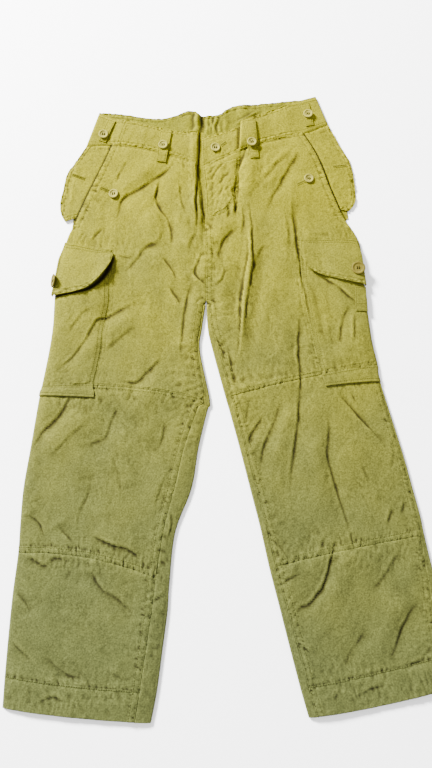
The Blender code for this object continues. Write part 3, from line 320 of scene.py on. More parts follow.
# The fine creases between them.
CREASES = lined(Crease, 4, (
    # fly groove
    (3.2, 3.4, 1, 10, -50, 560, -54, 478, -56, 440, -57, 408, -58, 364, -60, 315, -57, 240),
    # right hip
    (1.25, 3.2, 1, 11, -97, 408, -111, 378, -159, 340, -191, 318, -199, 287, -206, 269),
    (1.5, 3.4, 1, 11, -127, 364, -132, 318, -124, 298, -109, 275, -102, 240, -105, 212),
    (1.05, 3.2, 1, 9, -116, 256, -126, 236, -145, 227, -166, 199, -191, 172),
    (1.3, 3.0, 1, 8, -122, 210, -108, 193, -97, 174, -92, 158),
    (1.0, 3.0, 1, 8, -107, 156, -93, 132, -84, 114),
    (0.9, 3.2, 1, 8, -199, 212, -184, 208, -166, 208),
    (0.9, 4.5, 1, 12, -180, 400, -196, 372, -206, 344),
    # right rise
    (1.0, 4.0, 1, 9, -92, 356, -86, 318, -78, 286),
    # right crotch
    (1.8, 3.0, 1, 8, -42, 221, -55, 199, -61, 178, -52, 163, -38, 152),
    (1.4, 3.2, 1, 9, -66, 165, -72, 141, -79, 101, -83, 57, -83, 13),
    (0.9, 3.5, 1, 8, -56, 258, -68, 236, -74, 208),
    # right pocket
    (1.35, 3.4, 1, 11, -143, 132, -175, 117, -205, 98, -226, 90, -241, 60, -262, 30, -278, 11, -295, -6),
    (0.9, 3.2, 1, 8, -264, -25, -242, -21, -226, -13),
    (0.8, 4.5, 1, 11, -232, 118, -256, 96, -276, 62),
    (0.7, 5.0, 1, 12, -160, 84, -190, 56, -214, 34),
    # right knee
    (1.43, 2.6, 1, 9, -112, 30, -125, 15, -141, -1, -154, -16, -173, -15),
    (0.68, 2.6, 1, 7, -168, -33, -167, -59),
    (0.61, 4.0, 1, 9, -104, -20, -96, -44, -88, -72),
    # right calf
    (1.36, 3.4, 1, 11, -262, -34, -268, -43, -281, -72, -309, -103, -326, -133),
    (1.02, 3.4, 1, 10, -234, -84, -255, -100, -278, -125, -294, -138),
    (0.95, 3.6, 1, 11, -180, -47, -195, -80, -207, -110, -238, -120, -254, -123),
    (0.68, 4.0, 1, 11, -224, -162, -229, -201, -240, -228, -242, -263),
    (0.82, 3.4, 1, 9, -108, -80, -112, -113, -128, -133),
    (0.88, 3.2, 1, 9, -332, -231, -314, -235, -303, -245, -292, -268),
    (0.82, 3.2, 1, 8, -276, -243, -262, -262, -244, -278),
    # right shin
    (1.9, 2.4, 1, 8, -222, -262, -210, -266, -187, -277, -167, -281, -148, -292, -149, -304),
    # right notch
    (1.2, 2.6, 1, 7, -101, -217, -94, -243, -100, -271, -101, -284),
    # right shin
    (1.15, 3.0, 1, 9, -334, -293, -309, -298, -291, -308, -276, -296, -244, -298),
    (0.75, 4.0, 1, 12, -224, -304, -212, -326, -196, -345, -175, -357, -159, -371, -145, -383),
    (0.82, 3.4, 1, 9, -336, -345, -320, -360, -308, -377),
    (0.7, 3.2, 1, 9, -282, -438, -263, -452, -243, -465, -220, -470),
    (0.82, 3.4, 1, 9, -339, -414, -313, -434, -292, -456),
    (0.82, 2.8, 1, 7, -124, -362, -118, -357, -106, -351, -95, -347),
    (0.68, 3.2, 1, 8, -196, -452, -180, -462, -156, -469, -149, -456),
    # right hem
    (0.75, 3.0, 1, 8, -292, -503, -268, -494, -240, -500),
    # right knee
    (0.54, 5.0, 1, 12, -196, -128, -182, -170, -172, -216),
    # right inner calf
    (0.68, 3.6, 1, 9, -92, -150, -112, -186, -122, -226),
    # left hip
    (1.5, 3.0, 1, 10, 134, 432, 118, 400, 101, 368, 77, 322, 62, 290),
    (0.5, 3.0, 1, 9, 112, 423, 70, 374, 37, 334),
    # fly pleat
    (2.3, 3.0, -1, 8, 40, 440, 34, 424, 27, 404, 18, 375, 17, 345, 14, 305),
    (1.2, 2.8, 1, 7, 9, 358, 10, 308, 3, 287),
    # fly end
    (1.2, 2.8, 1, 7, -2, 306, -5, 275),
    (1.2, 2.8, 1, 7, 23, 310, 24, 275, 18, 244),
    # left crotch
    (1.5, 2.8, 1, 8, 19, 267, 1, 254, -13, 233, -20, 210, -21, 199),
    (1.3, 2.8, 1, 7, -8, 187, -14, 165, -27, 152),
    # left pressed
    (1.9, 2.6, -1, 10, 30, 262, 33, 219, 30, 196, 22, 145, 17, 73, 13, 38, 4, 0),
    (1.9, 2.6, 1, 9, 34, 322, 38, 266, 39, 228, 40, 196, 35, 163, 27, 108, 21, 40),
    # right hip
    (0.9, 3.0, 1, 9, -125, 360, -131, 330, -139, 300),
    (0.8, 3.0, 1, 8, -219, 264, -237, 247, -242, 232),
    (0.8, 2.8, 1, 8, -146, 222, -127, 236, -116, 256),
    (0.8, 2.8, 1, 8, -105, 148, -96, 134, -87, 118),
    # right knee
    (0.95, 2.6, 1, 7, -180, -13, -166, -18, -152, -18),
    # fly crinkle
    (1.6, 2.6, 1, 7, 4, 350, 8, 315, 11, 280),
    (1.3, 2.6, 1, 6, 14, 322, 10, 301, 5, 282),
    # left hip
    (0.6, 2.8, 1, 9, 104, 418, 73, 374, 46, 338, 26, 315),
    (0.9, 3.4, 1, 10, 131, 438, 92, 394, 57, 350),
    # left inner
    (1.1, 2.8, 1, 7, 18, 174, 16, 128, 12, 83),
    (1.2, 2.8, 1, 7, -24, 64, -14, 36, -7, 15),
    (1.4, 2.6, 1, 7, -5, 48, 1, 11, 8, -30),
    # left thigh
    (1.4, 3.2, 1, 10, 113, 340, 112, 285, 116, 247, 118, 219, 124, 172, 131, 119, 137, 73),
    (0.9, 3.6, 1, 9, 99, 294, 103, 250, 101, 217),
    (1.5, 3.2, 1, 11, 121, 134, 116, 74, 114, 22, 116, -13, 111, -64, 105, -113, 95, -170, 91, -209),
    (1.0, 3.6, 1, 9, 64, 236, 50, 212, 39, 180),
    (1.1, 3.2, 1, 9, 207, 123, 191, 92, 183, 48),
    (1.2, 3.2, 1, 8, 211, 110, 208, 48),
    # left pocket
    (1.35, 3.0, 1, 8, 143, 174, 174, 160, 199, 139, 219, 119, 237, 103),
    (0.6, 4.5, 1, 10, 160, 120, 168, 70, 172, 26),
    # left knee
    (1.25, 3.2, 1, 10, 87, -38, 68, -88, 54, -121, 44, -162, 37, -181),
    (1.28, 2.8, 1, 8, 52, -74, 32, -105, 27, -123),
    (0.88, 2.8, 1, 8, 32, -38, 22, -88),
    (0.8, 2.8, 1, 7, 51, -113, 31, -138),
    (1.35, 2.8, 1, 9, 174, -30, 197, -60, 228, -97, 256, -129),
    (0.8, 3.4, 1, 9, 196, -33, 214, -64),
    (1.36, 3.2, 1, 10, 156, -55, 160, -88, 155, -138, 164, -178, 174, -217, 182, -248, 177, -278),
    (0.96, 3.2, 1, 8, 156, -255, 143, -271, 135, -301),
    # left shin
    (2.2, 2.6, 1, 9, 164, -255, 164, -263, 154, -301, 140, -338, 124, -360, 105, -371, 89, -384),
    (1.04, 2.6, 1, 7, 186, -252, 189, -270, 190, -288),
    # left knee
    (0.96, 2.8, 1, 7, 276, -209, 268, -232),
    (0.96, 2.8, 1, 7, 257, -217, 243, -248),
    (0.8, 3.4, 1, 8, 257, -113, 262, -138, 254, -162),
    (1.04, 2.8, 1, 7, 64, -271, 80, -286, 88, -304),
    (0.64, 4.4, 1, 11, 206, -140, 218, -178, 222, -214),
    # left shin
    (1.1, 3.2, 1, 10, 287, -357, 265, -386, 247, -424, 230, -452),
    (0.95, 3.2, 1, 9, 203, -403, 179, -431, 167, -456),
    (0.96, 4.0, 1, 11, 265, -278, 247, -308, 214, -348),
    (0.88, 2.8, 1, 7, 60, -323, 83, -328, 110, -319),
    (0.88, 2.8, 1, 7, 98, -417, 118, -434),
    (0.96, 3.0, 1, 8, 301, -424, 281, -445, 261, -452),
    # left hem
    (0.88, 3.0, 1, 8, 236, -476, 203, -484, 172, -500),
    (0.8, 2.8, 1, 7, 161, -481, 150, -500),
))  # fmt: skip

RUMPLES = tuple(Rumple(*row) for row in (
    # the waist and the hips
    (-14, 350, 40, 66, 1.9, 55), (0, 425, 45, 26, 1.2, 70), (-84, 400, 26, 55, 0.8, 100),
    (52, 395, 40, 55, 0.8, 60), (-222, 450, 50, 34, 0.9, 75), (-246, 345, 26, 90, 0.7, 60),
    # the crotch, the knees and the pockets
    (-40, 200, 44, 70, 1.1, 100), (-62, -30, 34, 95, 1.7, 20), (-180, -42, 150, 22, 1.0, 80),
    (-275, -30, 60, 46, 1.0, 35), (-18, 70, 26, 110, 1.0, 30), (110, -8, 160, 24, 1.0, 95),
    (12, -60, 34, 60, 1.2, 50), (205, -10, 66, 36, 1.0, 100), (175, 250, 75, 26, 1.0, 80),
    (-240, 235, 60, 24, 0.9, 80),
    # the shins and the hems
    (-215, -300, 150, 30, 1.2, 85), (-100, -280, 30, 80, 1.2, 20), (-118, -400, 30, 100, 1.1, 25),
    (-225, -495, 150, 34, 1.1, 90), (180, -285, 160, 30, 1.2, 80), (76, -360, 32, 110, 1.1, 30),
    (312, -360, 30, 110, 1.1, 30), (220, -480, 150, 36, 1.1, 95),
))  # fmt: skip

# The two ends of each worked buttonhole.
BUTTONHOLES = (
    ((-284, 368), (-261, 359)), ((189, 384), (211, 386)), ((-231, 340), (-216, 333.5)),
    ((122, 346), (136, 353)), ((-15, 424.5), (-6, 432)),
)

# Rows of the flaps that are turned outwards: x and y of the root and of the tip.
RIGHT_HIP_FLAP = (
    (-203, 433, -259, 430), (-211, 408, -272, 406), (-217, 393, -283, 389), (-223, 378, -293, 373),
    (-229, 363, -297, 354), (-235, 348, -299, 338), (-241, 333, -302, 322), (-247, 318, -303, 306),
    (-253, 303, -300, 290), (-259, 288, -292, 275),
)  # fmt: skip
LEFT_HIP_FLAP = (
    (126, 456, 181, 474), (137, 430, 196, 442), (144, 414, 207, 418), (151, 398, 219, 396),
    (158, 382, 224, 375), (163, 366, 226, 356), (168, 350, 227, 338), (173, 334, 227, 320),
    (179, 318, 221, 305), (186, 303, 212, 295),
)  # fmt: skip
# Columns of the cargo flaps: x and y on the seam and on the free edge.
RIGHT_CARGO_FLAP = (
    (-292, 233, -303.5, 134), (-282, 230, -291, 135), (-271, 228, -278, 137), (-259, 225, -264, 140),
    (-247, 222, -250, 144), (-235, 219, -237, 152), (-224, 217, -225, 163), (-215, 215, -215, 176),
    (-208, 214, -207, 191), (-204, 213, -203, 206),
)  # fmt: skip
# Where the right pocket shows below its flap's free edge.
RIGHT_MOUTH = ((-200, 213), (-206, 194), (-214, 176), (-226, 160), (-241, 148), (-263, 141), (-302, 133))
LEFT_CARGO_FLAP = (
    (226, 237, 232, 153), (213, 238, 219, 156), (200, 239, 205, 159), (187, 239, 191, 162),
    (174, 238, 177, 166), (162, 237, 163, 170), (150, 237, 150, 175), (139, 237, 138, 184),
    (129, 238, 128, 200), (121, 238, 122, 220),
)  # fmt: skip

# The waistband's upper edge, from the right side to the left.
BACK_BAND_TOP = (
    (-240, 496), (-203, 494), (-147, 485), (-119, 485), (-91, 494), (-76, 500), (-65, 498),
    (-54, 490), (-35, 490), (-20, 492), (-5, 502), (11, 511), (58, 515), (114, 522),
    (139, 524), (162, 530),
)  # fmt: skip
RIGHT_BAND_TOP = ((-240, 496), (-212, 483), (-170, 475), (-131, 464), (-109, 458), (-61, 455))
RIGHT_BAND_SIDE = (-261, 425)
LEFT_BAND_SIDE = (183, 469.5)

# The left front band. Layer 0 lies on the back band, and at the pleat the band folds back under
# itself to layer 1 and forward again to layer 2.
LEFT_BAND = tuple(BandColumn(*row) for row in (
    (-48, -50, 444, 0), (-22, -24, 450, 0), (4, 5, 460, 0), (27, 29, 469, 0), (26, 28, 470, 1),
    (20, 23, 474, 1), (21, 24, 476, 2), (36, 39, 482, 2), (54, 58, 490, 1), (74, 78, 500, 0),
    (95, 98, 508, 0), (116, 118, 517, 0), (138, 135, 522, 0), (160, 148, 526, 0), (183, 162, 530, 0),
))  # fmt: skip

# Rows of the fly's stitched facing on the left front, as those of the flaps.
FLY_ROWS = (
    (-47.0, 380, 19, 399), (-45.5, 366, 18, 380), (-44.0, 350, 16, 356), (-42.5, 334, 13, 335),
    (-41.5, 318, 8, 315), (-41.0, 304, 0, 301), (-41.0, 295, -9, 292), (-40.5, 288, -24, 286),
)  # fmt: skip

BELT_LOOPS = (
    Strap("belt_loop_side_right", -216, 478, 15, -232, 433.5, 14),
    Strap("belt_loop_front_right", -116, 453, 22, -123, 390.5, 17),
    Strap("belt_loop_front_left", 36, 474, 25, 46, 397.5, 16),
    Strap("belt_loop_side_left", 139, 513, 20, 149, 466.5, 15),
)
POCKET_PLEAT = Strap("pocket_pleat_left", 224, 150, 19, 224, 106, 21)

SMALL_BUTTON = 17.5
CARGO_BUTTON = 23.5
BUTTONS = (
    ButtonPlace("button_loop_side_right", -230, 446.5, SMALL_BUTTON),
    ButtonPlace("button_loop_front_right", -120, 423.5, SMALL_BUTTON),
    ButtonPlace("button_loop_front_left", 41, 427.5, SMALL_BUTTON),
    ButtonPlace("button_loop_side_left", 146, 489.5, SMALL_BUTTON),
    ButtonPlace("button_fly", -25, 420.5, SMALL_BUTTON),
    ButtonPlace("button_hip_right", -207, 327.5, SMALL_BUTTON),
    ButtonPlace("button_hip_left", 143, 357.5, SMALL_BUTTON),
    ButtonPlace("button_cargo_left", 221, 182.5, CARGO_BUTTON),
)
CARGO_BUTTON_TILT = math.radians(60)
BUTTON_TILT = math.radians(4)  # how far the others lean and turn, one after the other
BUTTON_TURN = math.radians(7)


# ---------------------------------------------------------------- shapes in one and two parameters


def smoothstep(t: Array) -> Array:
    """0 below 0, 1 above 1, and 3t^2 - 2t^3 between them."""
    t = np.clip(t, 0.0, 1.0)
    return t * t * (3 - 2 * t)


def round_edge(t: Array) -> Array:
    """The height of a quarter circle: 0 at t = 0, where it is upright, and 1 from t = 1 on."""
    t = np.clip(t, 0.0, 1.0)
    return np.sqrt(1 - (1 - t) ** 2)


def between(first: Array | float, last: Array | float, share: Array) -> Array:
    """Values a share of the way from the first to the last."""
    return first * (1 - share) + last * share


def travel(line: Array) -> Array:
    """The length travelled along a line at each of its points."""
    return np.concatenate([[0.0], np.cumsum(np.hypot(*np.diff(line, axis=0).T))])


def catmull(values: Array, at: Array) -> Array:
    """A Catmull-Rom curve through rows of values.

    Args:
        values: one row for each knot.
        at: parameters, where whole numbers are the knots.

    Returns:
        One row of values for each parameter, with its shape before the last axis of values.
    """
    values = np.asarray(values, float)
    padded = np.concatenate([2 * values[:1] - values[1:2], values, 2 * values[-1:] - values[-2:-1]])
    at = np.asarray(at, float)
    knot = np.clip(np.floor(at).astype(int), 0, len(values) - 2)
    t = (at - knot)[..., None]
    before, start, end, after = (padded[knot + k] for k in range(4))
    linear = (end - before) * t
    square = (2 * before - 5 * start + 4 * end - after) * t**2
    cube = (3 * start - before - 3 * end + after) * t**3
    return 0.5 * (2 * start + linear + square + cube)


def curve(points: Sequence[Sequence[float]], pieces: int = 5) -> Array:
    """A smooth line through a few points, as pieces straight stretches between each two."""
    knots = np.array(points, float)
    return catmull(knots, np.linspace(0, len(knots) - 1, pieces * (len(knots) - 1) + 1))


class Near(NamedTuple):
    """What the points near a line know of it: which they are, their distance, side and place along it."""

    mask: Array
    distance: Array
    side: Array
    along: Array
    travelled: Array


def near_line(plan: Array, line: Array, reach: float) -> Near:
    """Finds the nearest place on a broken line for each point of the plan that is close to it.

    Args:
        plan: points (..., 2).
        line: the line's points.
        reach: points further than this outside the line's box are left out.

    Returns:
        The mask of the points that count and, for those, the distance, the side (+1 left of the
        line's direction), the fraction along it and the length travelled.
    """
    line = np.asarray(line, float)
    mask = np.all((plan >= line.min(axis=0) - reach) & (plan <= line.max(axis=0) + reach), axis=-1)
    points = plan[mask]
    lengths = np.linalg.norm(np.diff(line, axis=0), axis=1)
    starts = np.concatenate([[0.0], np.cumsum(lengths)])
    best = np.full(len(points), np.inf)
    side = np.ones(len(points))
    travelled = np.zeros(len(points))
    for k, length in enumerate(lengths):
        direction = (line[k + 1] - line[k]) / length
        offset = points - line[k]
        t = np.clip(offset @ direction, 0.0, length)
        away = offset - t[:, None] * direction
        distance = np.hypot(away[:, 0], away[:, 1])
        nearer = distance < best
        cross = direction[0] * away[:, 1] - direction[1] * away[:, 0]
        best = np.where(nearer, distance, best)
        side = np.where(nearer, np.where(cross >= 0, 1.0, -1.0), side)
        travelled = np.where(nearer, starts[k] + t, travelled)
    return Near(mask, best, side, travelled / starts[-1], travelled)


def distance_to(plan: Array, line: Array) -> Array:
    """The distance of every point of the plan to a broken line."""
    return near_line(plan, line, np.inf).distance.reshape(plan.shape[:-1])


def spaced(length: float, head: Sequence[float], tail: Sequence[float], pitch: float) -> Array:
    """Places along a length: the head's, the tail's counted back from the end, and even steps between."""
    count = max(int(round((length - head[-1] - tail[-1]) / pitch)), 2)
    middle = np.linspace(head[-1], length - tail[-1], count + 1)[1:-1]
    return np.concatenate([head, middle, length - np.array(tail)[::-1]])


def spread(start: Array, end: Array, head: Sequence[float], tail: Sequence[float], count: int) -> Array:
    """The same as spaced for each row of a grid, with rows that start and end at their own places."""
    first = start[:, None] + np.array(head)
    last = end[:, None] - np.array(tail)[::-1]
    t = np.linspace(0, 1, count + 1)[None, 1:-1]
    return np.concatenate([first, between(first[:, -1:], last[:, :1], t), last], axis=1)


def rounding(radius: float, count: int = 5) -> tuple:
    """Distances from an edge that divide a quarter circle of this radius evenly."""
    return tuple(radius * (1 - np.cos(np.linspace(0, math.pi / 2, count + 1))))


def joined(plan: Array, height: Array) -> Array:
    """Points (x, y, z) from a plan and its heights."""
    return np.concatenate([plan, np.asarray(height)[..., None]], axis=-1)


class GradientNoise:
    """Smooth noise in the plan: random slopes at whole numbers, blended between them."""

    def __init__(self, seed: int, size: int = 64) -> None:
        """Draws a square lattice of slopes from a seeded generator."""
        turn = np.random.default_rng(seed).uniform(0, 2 * math.pi, (size, size))
        self.size = size
        self.slopes = np.stack([np.cos(turn), np.sin(turn)], axis=-1)

    def __call__(self, x: Array, y: Array) -> Array:
        """Noise from about -0.7 to 0.7 at the points (x, y), in lattice units."""
        x0, y0 = np.floor(x), np.floor(y)
        u, v = x - x0, y - y0
        i, j = x0.astype(int), y0.astype(int)
        corner = {}
        for a in (0, 1):
            for b in (0, 1):
                slope = self.slopes[(i + a) % self.size, (j + b) % self.size]
                corner[a, b] = slope[..., 0] * (u - a) + slope[..., 1] * (v - b)
        s = u * u * u * (u * (6 * u - 15) + 10)
        t = v * v * v * (v * (6 * v - 15) + 10)
        return between(between(corner[0, 0], corner[1, 0], s), between(corner[0, 1], corner[1, 1], s), t)


# ---------------------------------------------------------------- the legs and the height of their cloth


class LegRows(NamedTuple):
    """Values of a leg's cross sections at some parameters."""

    outer: Array
    inner: Array
    bow: Array
    inner_lip: Array
    outer_lip: Array
    pocket: Array

    @property
    def width(self) -> Array:
        """The straight distance from each row's outer to its inner end."""
        return np.hypot(*(self.inner - self.outer).T)


class Leg:
    """One leg as a smooth run of cross sections. Its parameter counts sections down from the waist."""

    def __init__(self, name: str, sections: dict[str, tuple], back: tuple, outwards: int) -> None:
        """Reads the tables of one leg. outwards is -1 where its outside is at -X."""
        self.name = name
        self.outwards = outwards
        self.index = {section: k for k, section in enumerate(sections)}
        self.table = np.array(list(sections.values()), float)
        self.back_table = np.array(back, float)
        self.samples = np.linspace(-0.4, len(sections) - 0.6, 960)
        rows = self.rows(self.samples)
        lengths = travel((rows.outer + rows.inner) / 2)
        self.lengths = lengths - np.interp(0.0, self.samples, lengths)

    def rows(self, at: Array) -> LegRows:
        """The cross sections at these parameters."""
        values = catmull(self.table, at)
        outer, inner = values[:, 0:2], values[:, 2:4].copy()
        bow, inner_lip, outer_lip, pocket = values[:, 4:].T
        crotch, end = self.index["crotch"], self.index["slash_end"]
        seam_y, seam_x = np.array(CENTRE_SEAM, float).T
        on_seam = np.interp(inner[:, 1], seam_y, seam_x)
        weight = smoothstep(at - end + 1) * smoothstep(crotch - at)
        inner[:, 0] = between(inner[:, 0], on_seam, weight)
        inner_lip = np.maximum(inner_lip, 4.0) * smoothstep((at - crotch + 0.15) / 0.15)
        outer_lip = np.where(at <= self.index["knee_seam"] + 1e-6, 0.0, np.maximum(outer_lip, 0.0))
        return LegRows(outer, inner, bow, inner_lip, outer_lip, pocket)

    def back_rows(self, at: Array) -> LegRows:
        """The same for the back panel, which reaches the side seam and the seat seam at the hips."""
        rows = self.rows(at)
        end = self.index["slash_end"]
        back = catmull(self.back_table, np.minimum(at, end))
        high = smoothstep((end + 0.15 - at) / 0.15)[:, None]
        outer, inner = between(rows.outer, back[:, 0:2], high), between(rows.inner, back[:, 2:4], high)
        return rows._replace(outer=outer, inner=inner, bow=rows.bow * (1 - high[:, 0]))

    @staticmethod
    def place(rows: LegRows, across: Array) -> Array:
        """Plan points at distances across each row from its outer end, on its bowed line."""
        chord = rows.inner - rows.outer
        u = across / rows.width[:, None]
        plan = rows.outer[:, None] + chord[:, None] * u[..., None]
        plan[..., 1] += rows.bow[:, None] * 4 * u * (1 - u)
        return plan

    def travelled(self, at: Array) -> Array:
        """Length down the middle of the leg from the waist seam to these parameters."""
        return np.interp(at, self.samples, self.lengths)

    def parameter(self, travelled: Array) -> Array:
        """The parameters at these lengths down the leg."""
        return np.interp(travelled, self.lengths, self.samples)

    def marks(self, *sections: str) -> Array:
        """Lengths down the leg of these sections."""
        return self.travelled(np.array([self.index[section] for section in sections], float))

    def outline(self, inside: bool) -> Array:
        """The garment's edge along this leg, from the waist or crotch to the hem."""
        first = self.index["crotch"] if inside else 0
        rows = self.back_rows(np.linspace(first, len(self.table) - 1, 90))
        return rows.inner if inside else rows.outer

    def slash(self) -> Array:
        """The open edge of the hip pocket."""
        return self.rows(np.linspace(0, self.index["slash_end"], 30)).outer

    def pocket_edge(self) -> Array:
        """The cargo pocket's sewn inner edge."""
        rows = self.rows(np.linspace(self.index["pocket_top"], self.index["knee_seam"], 30))
        return self.place(rows, rows.pocket[:, None])[:, 0]

    def seam(self, section: str) -> Array:
        """A cross seam, from its outer to its inner end."""
        rows = self.rows(np.array([float(self.index[section])]))
        ends = np.linspace(rows.outer_lip[0], rows.width[0] - rows.inner_lip[0], 24)[None, :]
        return self.place(rows, ends)[0]

    def long_seam(self, inside: bool, first: str, last: str) -> Array:
        """The side or inside-leg seam where the back cloth's lip meets the front, between two sections."""
        at = np.linspace(self.index[first], self.index[last], 60)
        rows = self.rows(at)
        across = rows.width - rows.inner_lip if inside else rows.outer_lip
        return self.place(rows, across[:, None])[:, 0]


class Pucker(NamedTuple):
    """A sewn line that gathers the cloth beside it into short ridges.

    The band lies on the left of the line where width is positive, and on its right where negative.
    """

    line: Array
    width: float
    pitch: float
    height: float
    ray: float


class ClothField:
    """The height of the front cloth's outer face over every point of the plan."""

    def __init__(self, right: Leg, left: Leg) -> None:
        """Takes the outlines, slanted pockets and sewn lines from both legs."""
        self.outlines = (
            np.concatenate([[BACK_BAND_TOP[0]], right.outline(False)]),
            np.concatenate([right.outline(True)[::-1], left.outline(True)]),
            np.concatenate([[BACK_BAND_TOP[-1]], left.outline(False)]),
        )
        self.slashes = (right.slash(), left.slash())
        self.noise = [GradientNoise(seed) for seed in range(11, 18)]
        self.puckers = self.sewn_lines(right, left)
        self.creases = [(crease, curve(crease.points)) for crease in CREASES]

    @staticmethod
    def sewn_lines(right: Leg, left: Leg) -> list[Pucker]:
        """The lines that pucker the cloth. Bands lie on the side that the seam is folded to."""
        fly = np.array([row[2:4] for row in FLY_ROWS], float)
        centre = np.array([(x, y) for y, x in CENTRE_SEAM[::-1]], float)
        return [
            Pucker(right.long_seam(True, "crotch", "hem"), -13, 6.2, 0.42, 0.42),
            Pucker(left.long_seam(True, "crotch", "hem"), 11, 5.6, 0.48, 0.5),
            Pucker(left.long_seam(False, "knee_seam", "hem"), -11, 6.0, 0.4, 0.4),
            Pucker(right.seam("knee_seam"), -9, 5.0, 0.48, 0.5),
            Pucker(left.seam("knee_seam"), -8, 4.6, 0.48, 0.5),
            Pucker(right.seam("shin_seam"), 12, 5.2, 0.6, 0.6),
            Pucker(left.seam("shin_seam"), -11, 4.6, 0.5, 0.5),
            Pucker(right.seam("hem_stitch"), 5, 6.5, 0.4, 0.5),
            Pucker(left.seam("hem_stitch"), -5, 6.5, 0.4, 0.5),
            Pucker(right.slash(), 13, 5.4, 0.5, 0.4),
            Pucker(left.slash(), -13, 5.4, 0.5, 0.4),
            Pucker(curve(fly), -6, 5.0, 0.3, 0.35),
            Pucker(centre, 11, 5.0, 0.45, 0.5),
            Pucker(left.pocket_edge(), -9, 5.0, 0.35, 0.5),
            Pucker(right.pocket_edge(), 9, 5.0, 0.12, 0.25),
            Pucker(right.seam("waist"), -4, 7.0, 0.2, 0.45),
            Pucker(left.seam("waist"), 4, 7.0, 0.2, 0.45),
        ]

    def edge(self, plan: Array) -> Array:
        """The distance to the garment's nearest folded edge."""
        return np.minimum.reduce([distance_to(plan, outline) for outline in self.outlines])

    def folds(self, plan: Array) -> Array:
        """The sum of the large folds, each faded over a quarter of its length at both ends."""
        total = np.zeros(plan.shape[:-1])
        for fold in FOLDS:
            near = near_line(plan, fold.points, 3 * FOLD_SPREAD * max(fold.left, fold.right))
            width = FOLD_SPREAD * np.where(near.side > 0, fold.left, fold.right)
            fade = smoothstep(4 * near.along) * smoothstep(4 * (1 - near.along))
            total[near.mask] += FOLD_SCALE * fold.height * fade * np.exp(-((near.distance / width) ** 2))
        return total

    def base(self, plan: Array, edge: Array) -> Array:
        """Low at the folded edges, lofted inside them, with the large folds and slow waves."""
        x, y = plan[..., 0], plan[..., 1]
        loft = LOFT * (1 - np.exp(-edge / LOFT_LENGTH))
        slow = sum(wave.height * np.sin(x / wave.x_length + y / wave.y_length) for wave in WAVES)
        top = EDGE_TOP + loft + smoothstep(edge / FOLD_EDGE) * (self.folds(plan) + slow)
        for slash in self.slashes:
            near = smoothstep((SLASH_REACH + SLASH_BLEND - distance_to(plan, slash)) / SLASH_BLEND)
            top = np.maximum(top, near * SLASH_LIFT)
        return np.maximum(top, EDGE_TOP)

    def wobbled(self, plan: Array, reach: float) -> Array:
        """The plan pushed about by noise, so that straight or evenly curved lines come out uneven."""
        x, y = plan[..., 0], plan[..., 1]
        push_x = self.noise[0](x / 19, y / 23) + 0.3 * self.noise[1](x / 8, y / 9)
        push_y = self.noise[1](x / 21 + 7, y / 18) + 0.3 * self.noise[2](x / 9, y / 8)
        return plan + reach * np.stack([push_x, push_y], axis=-1)

    def fine_creases(self, plan: Array) -> Array:
        """Every fine crease: a short cliff with soft feet, which faces away from its bank.

        Over q, the distance towards the bank, and s, the length travelled, the height is tanh(q/w),
        taller on the bank's side, times exp(-|q|/reach), less a narrow pinch exp(-(q/w)^2), plus ridged
        noise of (s, q) that is stretched along the crease. Noise along s makes it swell and nearly fade.

        Args:
            plan: points (..., 2).

        Returns:
            The change in height at each point.
        """
        total = np.zeros(plan.shape[:-1])
        moved = self.wobbled(plan, 2.0)
        for number, (crease, line) in enumerate(self.creases):
            near = near_line(moved, line, 2.6 * crease.reach + 6)
            if not near.mask.any():
                continue
            run = line[-1] - line[0]
            upper_left = 1.0 if run[0] + run[1] >= 0 else -1.0
            q = near.distance * near.side * upper_left * crease.bank
            s = near.travelled
            ends = smoothstep(near.along / CREASE_TAPER) * smoothstep((1 - near.along) / CREASE_TAPER)
            swell = np.clip(0.9 + 0.9 * self.noise[4](s / 23, np.full_like(s, number + 0.5)), 0.5, 1.35)
            half = 0.5 * crease.width * (0.62 + 0.2 * ends * swell)
            away = np.abs(q)
            feet = np.exp(-away / crease.reach)
            cliff = np.tanh(q / half) * feet * np.where(q > 0, 0.62, 0.4)
            pinch = -0.4 * np.exp(-((q / (1.3 * half)) ** 2))
            ridged = 0.3 - np.abs(self.noise[5](s / 26 + number, q / 5.5))
            streaks = 0.5 * ridged * (1 - np.exp(-((away / 4.0) ** 2))) * feet
            total[near.mask] += CREASE_SCALE * crease.depth * ends * swell * (cliff + pinch + streaks)
        return total

    def rumples(self, plan: Array) -> Array:
        """The patches of short, sharp crinkles: ridged noise, stretched along each patch's own direction."""
        total = np.zeros(plan.shape[:-1])
        x, y = plan[..., 0], plan[..., 1]
        for number, patch in enumerate(RUMPLES):
            far = ((x - patch.x) / patch.half_width) ** 2 + ((y - patch.y) / patch.half_length) ** 2
            near = np.exp(-far)
            if near.max() < 0.02:
                continue
            turn = math.radians(patch.turn)
            along = x * math.cos(turn) + y * math.sin(turn) + 7 * self.noise[0](x / 23, y / 25)
            aside = y * math.cos(turn) - x * math.sin(turn) + 6 * self.noise[1](x / 21, y / 19)
            large = np.abs(self.noise[3](along / 24 + number, aside / 9.5))
            small = np.abs(self.noise[6](along / 13, aside / 5.8 + number))
            total += RUMPLE_SCALE * patch.height * near * (1.25 * (0.24 - large) + 0.6 * (small - 0.2))
        return total

